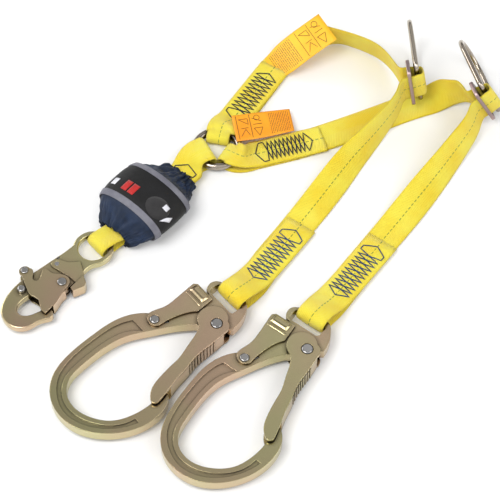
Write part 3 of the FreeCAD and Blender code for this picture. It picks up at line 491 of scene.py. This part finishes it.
def stitching(name, strap, start, end, paint, sign=1, reach=0.74, periods=5):
    """Two crossing zigzags with pointed ends, as webbing is sewn."""
    threads = [zigzag(strap, start, end, reach, periods, sign, phase) for phase in (1, -1)]
    return tube(name, threads, THREAD_R, paint)


# ---- webbing ------------------------------------------------------------
def bar_fold(axis_point, towards, radius, half):
    """Rows round a straight bar, from under it to over it, in metres."""
    rows = []
    steps = int(180 / FOLD_STEP)
    for k in range(steps + 1):
        angle = math.radians(180 * k / steps - 90)
        lift = Vector((0, 0, radius * math.sin(angle)))
        middle = axis_point + towards * (radius * math.cos(angle)) + lift
        rows.append((row(middle), half / 1000))
    return rows


def ring_profile(over, under, rise):
    """Distance out from the ring's rod and height, from over the rod to under it."""
    top = RING_CENTRE.z + RING_FOLD_R + rise
    bottom = RING_CENTRE.z - RING_FOLD_R
    profile = []
    steps = 14
    for k in range(steps + 1):
        out = RING_FOLD_LENGTH * (1 - k / steps)
        profile.append((out, over + (top - over) * (1 - ease(out, 3, RING_FOLD_LENGTH))))
    for k in range(1, 5):
        profile.append((-RING_FOLD_INWARD * k / 4, top))
    turn = int(180 / FOLD_STEP)
    for k in range(1, turn):
        angle = math.radians(180 * k / turn)
        inward = RING_FOLD_INWARD + RING_FOLD_R * math.sin(angle)
        profile.append((-inward, (top + bottom) / 2 + (top - bottom) / 2 * math.cos(angle)))
    for k in range(5):
        profile.append((-RING_FOLD_INWARD * (1 - k / 4), bottom))
    for k in range(1, steps + 1):
        out = RING_FOLD_LENGTH * k / steps
        profile.append((out, under + (bottom - under) * (1 - ease(out, 3, RING_FOLD_LENGTH))))
    return profile


def ring_fold(angle, heading, over, under, reaches, rise=0.0):
    """Rows of points round the ring's rod, gathered where the strap is pulled together."""
    middle = RING_CENTRE + unit(angle) * RING_R
    grid = []
    for out, height in ring_profile(over, under, rise):
        share = ease(out, 1, RING_FOLD_LENGTH - 4)
        gather = (1 - ease(out, -2, 18)) * (1 if height > RING_CENTRE.z else -1)
        points = []
        for j in range(ACROSS + 1):
            side = WEB_WIDTH * (j / ACROSS - 0.5)
            spread = math.degrees(side / (RING_R + max(out, 0)))
            turned = RING_CENTRE + unit(angle + spread) * (RING_R + out)
            inside = ease(-out, 0, 6)
            reach = reaches[0] if side > 0 else reaches[1]
            nose = RING_CENTRE + unit(angle) * (RING_R + out)
            nose += unit(angle + 90) * reach * side * 2 / WEB_WIDTH
            turned = turned * (1 - inside) + nose * inside
            straight = middle + unit(heading) * out + unit(heading + 90) * side
            point = turned * (1 - share) + straight * share
            pleat = 0.30 * gather * math.cos(side * 0.85 + angle)
            points.append(row((point.x, point.y, height + pleat)))
        grid.append(points)
    return grid


def ring_control(angle, heading, out, height):
    middle = RING_CENTRE + unit(angle) * RING_R + unit(heading) * out
    side = unit(heading + 90)
    return ((middle.x, middle.y, height), (side.x, side.y, 0))


class DStation:
    """Local axes at a D-ring: up along its bar, out along its bow, and east."""

    def __init__(self, centre, up, out):
        self.centre = Vector(centre)
        self.up = Vector(up).normalized()
        raw = Vector(out)
        self.out = (raw - self.up * raw.dot(self.up)).normalized()
        self.east = self.out.cross(self.up)

    def at(self, east, out):
        return self.centre + self.east * east + self.out * out + self.up * WEB_ON_BAR

    def loop_rows(self):
        turn = [(-18, 7.6), (-11, 7.2), (-6.5, 7.2), (0, 5.6), (6.8, 5.2)]
        back = [(east, -out) for east, out in reversed(turn)]
        return [(tuple(self.at(east, out)), tuple(self.up)) for east, out in turn + back]


LEFT_D = DStation((180.1, 189.7, 37.9), (-0.173, 0.022, 0.985), (-0.057, 0.998, -0.032))
RIGHT_D = DStation((256.4, 174.6, 30.4), (-0.461, -0.076, 0.884), (-0.268, 0.962, -0.058))


def leg(name, station, ring, run_to_d, run_to_eye, eye, tails):
    """One leg: end sewn at the ring, fold, D-ring loop, fold at the hook's eye, end."""
    angle, heading, reaches = ring
    ring_tail, eye_tail = tails
    eye_point, eye_heading, run_heading = eye
    first = [ring_control(angle, heading, out, LOWER) for out in (RING_FOLD_LENGTH, 45, 70)]
    bar_side = tuple(unit(eye_heading + 90))
    run_side = tuple(unit(run_heading + 90))

    def beside_eye(out, height, side=run_side, reach=WEB_WIDTH / 2):
        middle = eye_point + unit(eye_heading) * min(out, 9) + unit(run_heading) * max(out - 9, 0)
        return ((middle.x, middle.y, height), side, reach)

    under = [beside_eye(30, LOWER), beside_eye(21, LOWER + 0.4)]
    under.append(beside_eye(9, BIG_HOOK_Z - BIG_FOLD_R, bar_side, 16))
    end = eye_point + Vector((0, 0, -BIG_FOLD_R))
    under.append((tuple(end), bar_side, BIG_FOLD_WIDTH / 2))
    run_rows = route_rows(first + run_to_d + station.loop_rows() + run_to_eye + under)
    half_bar = unit(eye_heading + 90) * (BIG_FOLD_WIDTH / 2)
    fold = bar_fold(eye_point, unit(eye_heading + 180), BIG_FOLD_R, half_bar)
    over = [((eye_point.x, eye_point.y, BIG_HOOK_Z + BIG_FOLD_R), bar_side, BIG_FOLD_WIDTH / 2)]
    over += [beside_eye(9, BIG_HOOK_Z + BIG_FOLD_R - 0.8, bar_side, 16), beside_eye(21, UPPER + 8.5)]
    over += [beside_eye(33, UPPER + 3.4), beside_eye(62, UPPER), beside_eye(eye_tail, UPPER)]
    over_rows = route_rows(over)
    sewn_at = (ring_tail, 70, 45, RING_FOLD_LENGTH)
    sewn = route_rows([ring_control(angle, heading, out, UPPER) for out in sewn_at])
    turn = ring_fold(angle, heading, UPPER, LOWER, reaches)

    run = Strap(name + "_run", to_points(run_rows))
    ring_end = Strap(name + "_ring_end", to_points(sewn)[:-1] + turn)
    hook_end = Strap(name + "_hook_end", to_points(fold[:-1] + over_rows), thread_side=1)
    tail = ring_end.lengths[len(sewn) - 1]
    start, end_of_seam = RING_SEAM_START, tail + RING_SEAM_PAST_TAIL
    ring_sewing = stitching(name + "_ring_stitches", ring_end, start, end_of_seam, NAVY_THREAD, sign=-1)
    whole = hook_end.lengths[-1]
    start, end_of_seam = [whole - back for back in HOOK_SEAM]
    hook_sewing = stitching(name + "_hook_stitches", hook_end, start, end_of_seam, BLUE_THREAD)
    pieces = [ring_end.object, hook_end.object, ring_sewing, hook_sewing]
    for piece in [run.object] + pieces:
        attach(piece, "webbing")
    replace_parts(run.object, name + "_webbing")


def left_leg():
    rows = [
        ((25, 238, 1.3), (-0.83, 0.56, 0)),
        ((39, 255, 1.7), (-0.82, 0.58, 0.02)),
        ((60, 268, 10.5), (-0.50, 0.60, 0.62)),
        ((78, 274, 17.2), (-0.14, 0.10, 0.95)),
        ((97, 273, 17.9), (-0.08, -0.26, 0.96)),
        ((119, 264, 17.9), (-0.12, -0.23, 0.97)),
        ((140, 251, 18.9), (-0.26, -0.10, 0.96)),
        ((152, 233, 22.5), (-0.32, 0.10, 0.94)),
        ((159, 213, 27.5), (-0.25, 0.08, 0.96)),
    ]
    back = [
        ((157, 170, 25), (-0.16, 0.0, 0.985)),
        ((143, 152, 19.5), (-0.27, 0.1, 0.95)),
        ((128, 133, 16.8), (-0.37, 0.22, 0.90)),
        ((108, 110, 13.0), (-0.60, 0.38, 0.70)),
        ((88, 82, 8.6), (-0.76, 0.49, 0.42)),
        ((66, 51, 3.6), (-0.81, 0.57, 0.13)),
        ((42, 18, 1.3), (-0.81, 0.585, 0)),
        ((18, -15, 1.3), (-0.81, 0.585, 0)),
    ]
    ring = (78, 57.8, (14, 10.5))
    eye = (LEFT_HOOK.at(BIG_EYE_BAR), 41.5, 54.2)
    leg("left_leg", LEFT_D, ring, rows, back, eye, (108, 115))


def right_leg():
    rows = [
        ((96, 151.5, 1.3), (-0.34, 0.94, 0)),
        ((124, 163.5, 1.3), (-0.40, 0.915, 0)),
        ((152, 176.5, 1.3), (-0.41, 0.91, 0)),
        ((178, 188, 1.4), (-0.40, 0.915, 0.02)),
        ((195, 193.5, 3.6), (-0.37, 0.91, 0.16)),
        ((207, 195.0, 12.6), (-0.27, 0.70, 0.66)),
        ((218, 193, 19.0), (-0.27, 0.22, 0.94)),
        ((230, 189, 26), (-0.38, 0.08, 0.92)),
    ]
    back = [
        ((236, 143, 24.5), (-0.45, 0.04, 0.89)),
        ((222, 124, 18.0), (-0.50, 0.22, 0.84)),
        ((205, 100, 14.2), (-0.56, 0.34, 0.75)),
        ((187, 76, 10.5), (-0.68, 0.46, 0.57)),
        ((168, 51, 6.5), (-0.76, 0.55, 0.30)),
        ((147, 24, 2.4), (-0.79, 0.605, 0.05)),
        ((125, -5, 1.3), (-0.80, 0.60, 0)),
        ((105, -32, 1.3), (-0.80, 0.60, 0)),
    ]
    ring = (-30, 16.7, (10.5, 14))
    eye = (RIGHT_HOOK.at(BIG_EYE_BAR), 53, 53.3)
    leg("right_leg", RIGHT_D, ring, rows, back, eye, (97, 122))


def ring_end_loop():
    """Loop from inside the pack round the round ring and back."""
    angle, heading = 208, 241
    inner = PACK_CENTRE + unit(PACK_YAW) * 24
    side = tuple(unit(heading + 90))
    layers = []
    for height in (PACK_END_HEIGHT + 1.5, PACK_END_HEIGHT - 1.5):
        controls = [ring_control(angle, heading, out, height) for out in (RING_FOLD_LENGTH, 36)]
        controls[-1] += (13.6,)
        controls.append(((inner.x, inner.y, height), side, 13.5))
        layers.append(to_points(route_rows(controls)))
    turn = ring_fold(angle, heading, PACK_END_HEIGHT + 1.5, PACK_END_HEIGHT - 1.5, (16, 16), 3.0)
    strap = Strap("ring_loop", layers[0][::-1] + turn[1:-1] + layers[1], paint=PLAIN_WEBBING)
    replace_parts(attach(strap.object, "webbing"), "ring_end_loop")
    inside = strap.lengths[len(layers[0]) - 1]
    start, end = inside - LOOP_SEAM[0], inside + LOOP_SEAM[1]
    sewing = stitching("ring_loop_stitches", strap, start, end, NAVY_THREAD, sign=-1, periods=3)
    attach(sewing, "webbing")


def hook_end_loop():
    """Loop from inside the pack round the small hook's eye and back."""
    heading = 41.0
    axis_point = SNAP_HOOK.base + unit(heading) * SNAP_FOLD_REACH
    side = tuple(unit(heading + 90))
    inner = PACK_CENTRE - unit(PACK_YAW) * 16
    narrow = SNAP_FOLD_WIDTH / 2
    layers = []
    for sign in (1, -1):
        height = PACK_END_HEIGHT + 1.5 * sign
        fold_z = axis_point.z + SNAP_FOLD_R * sign
        over_eye = axis_point + unit(heading) * 9
        entrance = axis_point + unit(heading) * 18
        beside = axis_point + unit(heading) * 33
        layers.append(to_points(route_rows([
            ((axis_point.x, axis_point.y, fold_z), side, narrow),
            ((over_eye.x, over_eye.y, fold_z - 0.3 * sign), side, narrow),
            ((entrance.x, entrance.y, fold_z - 2.6 * sign), side, narrow + 0.5),
            ((beside.x, beside.y, height), side, 15),
            ((inner.x, inner.y, height), side, 15),
        ])))
    turn = to_points(bar_fold(axis_point, unit(heading + 180), SNAP_FOLD_R, unit(heading + 90) * narrow))
    strap = Strap("hook_loop", layers[1][::-1] + turn[1:-1] + layers[0], paint=PLAIN_WEBBING)
    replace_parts(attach(strap.object, "webbing"), "hook_end_loop")


# ---- pack ---------------------------------------------------------------
def section(along):
    """Half width, half height and middle's height of the pack, smoothly between sections."""
    rows = PACK_SECTIONS
    along = min(max(along, rows[0][0]), rows[-1][0])
    i = max(k for k in range(len(rows) - 1) if rows[k][0] <= along)
    before, a, b, after = rows[max(i - 1, 0)], rows[i], rows[i + 1], rows[min(i + 2, len(rows) - 1)]
    t = (along - a[0]) / (b[0] - a[0])
    values = []
    for k in (1, 2, 3):
        slope_a = (b[k] - before[k]) / (b[0] - before[0]) * (b[0] - a[0])
        slope_b = (after[k] - a[k]) / (after[0] - a[0]) * (b[0] - a[0])
        h = (2 * t**3 - 3 * t**2 + 1) * a[k] + (t**3 - 2 * t**2 + t) * slope_a
        values.append(h + (3 * t**2 - 2 * t**3) * b[k] + (t**3 - t**2) * slope_b)
    return values


def pack_point(along, turn, grow):
    """Point of the pack's surface at a length along it and an angle round it."""
    half_width, half_height, middle = section(along)
    y = (half_width + grow) * math.cos(turn)
    z = middle + (half_height + grow) * math.sin(turn)
    local = Vector((along, y, max(z, 0.6)))
    return row(PACK_CENTRE + Matrix.Rotation(math.radians(PACK_YAW), 3, "Z") @ local)


def gathers(along, turn):
    """Height of the cover's pleats, which deepen from the band to the drawn ends."""
    outer = ease(abs(along) - BAND_HALF_LENGTH, -1, 16)
    if outer <= 0:
        return 0.0
    side = 1 if along > 0 else -1
    around = Vector((math.cos(turn) * 2.2, math.sin(turn) * 2.2, side * 4))
    wander = noise.noise(around + Vector((0, 0, along * 0.06)))
    pleats = math.sin(turn * 11 + wander * 7 + side * 1.3)
    minor = math.sin(turn * 23 - wander * 9 + side)
    fine = noise.noise(Vector((along * 0.13, math.cos(turn) * 7, math.sin(turn) * 7)))
    return outer * (2.1 * pleats * abs(pleats) ** 0.4 + 0.8 * minor - 1.6 + 2.2 * fine)


def pack_shell(name, paint, low, high, grow, steps, round_steps=150, pleated=False, inset=0.0, lip=1.1):
    """Closed ring of cloth round the pack between two stations."""
    stations = [low + (high - low) * k / steps for k in range(steps + 1)]
    grid = []
    profile = [(low + inset, -lip)] + [(s, 0.0) for s in stations] + [(high - inset, -lip)]
    for along, drop in profile:
        ring = []
        for k in range(round_steps):
            turn = 2 * math.pi * k / round_steps
            height = grow + drop + (gathers(along, turn) if pleated else 0.0)
            ring.append(pack_point(along, turn, height))
        grid.append(ring)
    vertices = [point for ring in grid for point in ring]
    faces = []
    for i in range(len(grid) - 1):
        for k in range(round_steps):
            after = (k + 1) % round_steps
            a, b = i * round_steps, (i + 1) * round_steps
            faces.append((a + k, a + after, b + after, b + k))
    return mesh_object(name, vertices, faces, paint)


def band_patch(name, paint, outline, grow, centre, thickness=0.35):
    """Flat print or patch laid on the band: outline of (along, arc) round a centre."""
    along_0, turn_0 = centre
    radius = section(along_0)[0] * 0.75
    vertices = []
    for height in (grow, grow + thickness):
        vertices.append(pack_point(along_0, turn_0, height))
        for ring in (0.5, 1.0):
            for along, arc in outline:
                turn = turn_0 - arc * ring / radius
                vertices.append(pack_point(along_0 + along * ring, turn, height))
    count = len(outline)
    layer = 2 * count + 1
    faces = []
    for base in (0, layer):
        for k in range(count):
            after = (k + 1) % count
            inner = [(base, base + 1 + k, base + 1 + after)]
            outer = [(base + 1 + k, base + 1 + count + k, base + 1 + count + after, base + 1 + after)]
            faces += inner + outer
    for k in range(count):
        after = (k + 1) % count
        a, b = 1 + count + k, 1 + count + after
        faces.append((a, b, b + layer, a + layer))
    patch = mesh_object(name, vertices, faces, paint)
    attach(patch, "webbing")
    return patch


def disc(radius, count=28):
    turns = [2 * math.pi * k / count for k in range(count)]
    return [(radius * math.cos(turn), radius * math.sin(turn)) for turn in turns]


def bar(width, height, steps=4):
    """Outline of a rectangle with points along its sides."""
    corners = [(-width, -height), (width, -height), (width, height), (-width, height)]
    points = []
    for (a, b), (c, d) in zip(corners, corners[1:] + corners[:1]):
        for k in range(steps):
            t = k / steps
            points.append(((a + (c - a) * t) / 2, (b + (d - b) * t) / 2))
    return points


def pack():
    cover = pack_shell("pack_cover_cloth", NAVY, -45.5, 56.5, -0.2, 90, 240, pleated=True, inset=4, lip=3.5)
    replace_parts(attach(cover, "webbing"), "pack_cover", "pack_tear_web", "pack_backup_web")
    band = pack_shell("pack_band_cloth", BLACK, -BAND_HALF_LENGTH + 0.5, BAND_HALF_LENGTH - 0.5, 1.3, 30)
    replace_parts(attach(band, "webbing"), "pack_band")
    tapes = (("pack_lower_tape", -BAND_HALF_LENGTH), ("pack_upper_tape", BAND_HALF_LENGTH - TAPE_WIDTH))
    for node, low in tapes:
        tape = pack_shell(node + "_cloth", GREY, low, low + TAPE_WIDTH, 2.2, 8, lip=0.9)
        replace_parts(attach(tape, "webbing"), node)
    front = math.radians(128)
    patch = band_patch("pack_round_patch", PATCH, disc(11.5), 1.5, (-6.4, front), 0.9)
    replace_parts(patch, "pack_closing_flap")
    prints = [
        ("print_block", RED, bar(13, 5.6), (-7.2, 25.5), 1.5),
        ("print_block_2", RED, bar(13, 5.6), (-7.2, 32.5), 1.5),
        ("print_label", WHITE, bar(9, 7), (-8, 47), 1.5),
        ("print_square", WHITE, bar(6, 5.5), (0.0, -4.5), 2.6),
        ("print_triangle", WHITE, [(-8, 3), (-4, -1), (0, -6), (3, -5), (6, -4), (0, 1)], (-7, -12.5), 2.6),
    ]
    for name, paint, outline, (along, arc), height in prints:
        turn = front - arc / (section(along)[0] * 0.75)
        band_patch(name, paint, outline, height, (along, turn), 0.15)


# ---- tags ---------------------------------------------------------------
def tag(name, node, controls, paint):
    rows = route_rows(controls)
    strap = Strap(name, to_points(rows), 0.0009, 0.0, paint)
    layer = strap.object.data.uv_layers[0]
    whole = strap.lengths[-1]
    for entry in layer.data:
        entry.uv = (abs(entry.uv[0]) / whole, (entry.uv[1] + 1) / 2)
    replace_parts(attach(strap.object, "webbing"), node)
    return strap


def tags():
    side = (0.468, -0.884, 0)
    left = tag("left_tag_sheet", "left_tag", [
        ((23.5, 238.5, 2.7), side, 16),
        ((30, 244, 2.8), side, 18),
        ((38, 246, 11.5), side, 20.5),
        ((60, 256.7, 26), side, 20.5),
        ((85, 269.5, 37.5), side, 20.5),
    ], TAG_LEFT)
    side = (0.17, -0.985, 0)
    right = tag("right_tag_sheet", "right_tag", [
        ((-17, 145.0, 16.2), side, 17.5),
        ((5, 150.6, 13.8), side, 17.5),
        ((25, 157.4, 10.2), side, 16.5),
        ((45, 163.8, 7.5), side, 15.0),
    ], TAG_RIGHT)
    marks(left, "left_tag_marks", 0.55, 0.96)
    marks(right, "right_tag_marks", 0.05, 0.52)


def marks(strap, name, low, high):
    """Generic line drawings in boxes on a tag."""
    whole = strap.lengths[-1]

    def at(x, y):
        return strap.point(whole * (low + (high - low) * x), 2 * y - 1, TAG_FACE, 0.0001)

    shapes = [
        [(0.02, 0.06), (0.02, 0.94)], [(0.5, 0.06), (0.5, 0.94)],
        [(0.1, 0.2), (0.42, 0.2), (0.42, 0.42), (0.1, 0.2)],
        [(0.1, 0.85), (0.3, 0.6), (0.42, 0.85)], [(0.15, 0.55), (0.4, 0.55)],
        [(0.58, 0.2), (0.9, 0.35)], [(0.6, 0.6), (0.92, 0.6), (0.76, 0.9), (0.6, 0.6)],
        [(0.6, 0.45), (0.92, 0.45)],
    ]
    paths = []
    for shape in shapes:
        path = []
        for (a, b), (c, d) in zip(shape, shape[1:]):
            path += [at(a + (c - a) * k / 8, b + (d - b) * k / 8) for k in range(8)]
        path.append(at(*shape[-1]))
        paths.append(path)
    circle = [at(0.76 + 0.1 * math.cos(0.4 * k), 0.2 + 0.1 * math.sin(0.4 * k)) for k in range(17)]
    paths.append(circle)
    lines = tube(name, paths, MARK_R, INK, 2)
    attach(lines, "webbing")


# ---- metal --------------------------------------------------------------
def paint_metal():
    for name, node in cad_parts.items():
        if name.endswith("_spring"):
            paint = SPRING_STEEL
        elif name.endswith("_rivet") or name.endswith("_bush"):
            paint = RIVET_STEEL
        elif "_hook_" in name:
            paint = HOOK_STEEL
        elif name.endswith("ring"):
            paint = RING_STEEL
        elif name.endswith("keeper"):
            paint = KEEPER_STEEL
        else:
            continue
        for material_slot in node.material_slots:
            material_slot.material = paint


def pad_roll(side, hook):
    """Rounded rolls pressed across a hook's thumb pad, on both of its cheeks."""
    vertices, faces = [], []
    for sign in (1, -1):
        for middle, reach, height in ((9.0, 5.0, 2.3), (1.2, 1.7, 1.0)):
            first = len(vertices)
            for i in range(ROLL_ROWS + 1):
                share = i / ROLL_ROWS
                rise = height * max(min(1, 7 * share, 7 * (1 - share)), 0.03) ** 0.5
                low = 28.5 if middle > 5 else 27.0
                for k in range(ROLL_STEPS + 1):
                    turn = math.pi * k / ROLL_STEPS
                    x, y = middle + reach * math.cos(turn), low + (ROLL_END - low) * share
                    z = sign * (LEVER_HALF - ROLL_SUNK + rise * math.sin(turn))
                    vertices.append(row(hook.at((x, y, z))))
            wide = ROLL_STEPS + 1
            for i in range(ROLL_ROWS):
                a = first + i * wide
                faces += [(a + k, a + k + 1, a + k + 1 + wide, a + k + wide) for k in range(ROLL_STEPS)]
                faces.append((a + ROLL_STEPS, a, a + wide, a + wide + ROLL_STEPS))
            for a in (first, first + ROLL_ROWS * wide):
                faces.append(tuple(range(a, a + wide)))
    roll = mesh_object(side + "_pad_roll", vertices, faces, HOOK_STEEL)
    shape = bmesh.new()
    shape.from_mesh(roll.data)
    bmesh.ops.recalc_face_normals(shape, faces=shape.faces)
    shape.to_mesh(roll.data)
    shape.free()
    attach(roll, side + "_hook_lever")


# ---- stage --------------------------------------------------------------
def stage():
    floor_paint = Paint("floor", Roughness=0.9)
    pale = [(0.3, (0.86, 0.86, 0.86)), (0.7, (0.9, 0.9, 0.9))]
    floor_paint.colour(floor_paint.ramp(floor_paint.noise(3, 2), pale))
    size = 6.0
    corners = [(-size, -size, 0), (size, -size, 0), (size, size, 0), (-size, size, 0)]
    floor = mesh_object("floor", corners, [(0, 1, 2, 3)], floor_paint.material)

    world = bpy.data.worlds.new("studio")
    bpy.context.scene.world = world
    world.use_nodes = True
    nodes, links = world.node_tree.nodes, world.node_tree.links
    place = nodes.new("ShaderNodeTexCoord")
    facing = nodes.new("ShaderNodeVectorMath")
    facing.operation = "DOT_PRODUCT"
    facing.inputs[1].default_value = Vector((0.25, 0.72, 0.64)).normalized()
    ramp = nodes.new("ShaderNodeValToRGB")
    elements = ramp.color_ramp.elements
    elements[0].position = 0.0
    elements[0].color = (1.0, 1.0, 1.0, 1)
    elements[1].position = 1.0
    elements[1].color = (0.62, 0.62, 0.62, 1)
    for position, value in ((0.35, 1.25), (0.62, 1.0), (0.76, 0.10), (0.86, 0.26), (0.94, 0.95)):
        element = elements.new(position)
        element.color = (value, value, value, 1)
    links.new(place.outputs["Generated"], facing.inputs[0])
    links.new(facing.outputs["Value"], ramp.inputs[0])
    links.new(ramp.outputs[0], nodes["Background"].inputs["Color"])
    nodes["Background"].inputs["Strength"].default_value = 0.85

    for name, place, power, width in (
        ("key", (-0.7, -0.5, 1.6), 16.0, 0.9),
        ("fill", (1.1, -0.4, 1.2), 7.0, 1.0),
        ("back", (-1.5, 1.0, 0.9), 9.0, 0.8),
    ):
        light = bpy.data.lights.new(name, "AREA")
        light.energy = power
        light.size = width
        lamp = bpy.data.objects.new(name, light)
        lamp.location = place
        lamp.rotation_mode = "QUATERNION"
        lamp.rotation_quaternion = (-Vector(place)).to_track_quat("-Z", "Y")
        bpy.context.scene.collection.objects.link(lamp)


def camera():
    elevation = math.radians(56)
    distance = 1.9
    target = row((0, 0, 0))
    back = Vector((0, -math.cos(elevation), math.sin(elevation)))
    data = bpy.data.cameras.new("camera")
    data.sensor_width = 36
    data.lens = 133
    obj = bpy.data.objects.new("camera", data)
    obj.location = target + back * distance
    obj.rotation_mode = "QUATERNION"
    obj.rotation_quaternion = (-back).to_track_quat("-Z", "Y")
    data.dof.use_dof = False
    data.clip_end = 20
    bpy.context.scene.collection.objects.link(obj)
    bpy.context.scene.camera = obj
    bpy.context.scene.view_settings.view_transform = "Standard"


left_leg()
right_leg()
ring_end_loop()
hook_end_loop()
pack()
tags()
paint_metal()
pad_roll("left", LEFT_HOOK)
pad_roll("right", RIGHT_HOOK)
stage()
camera()

bpy.context.view_layer.update()
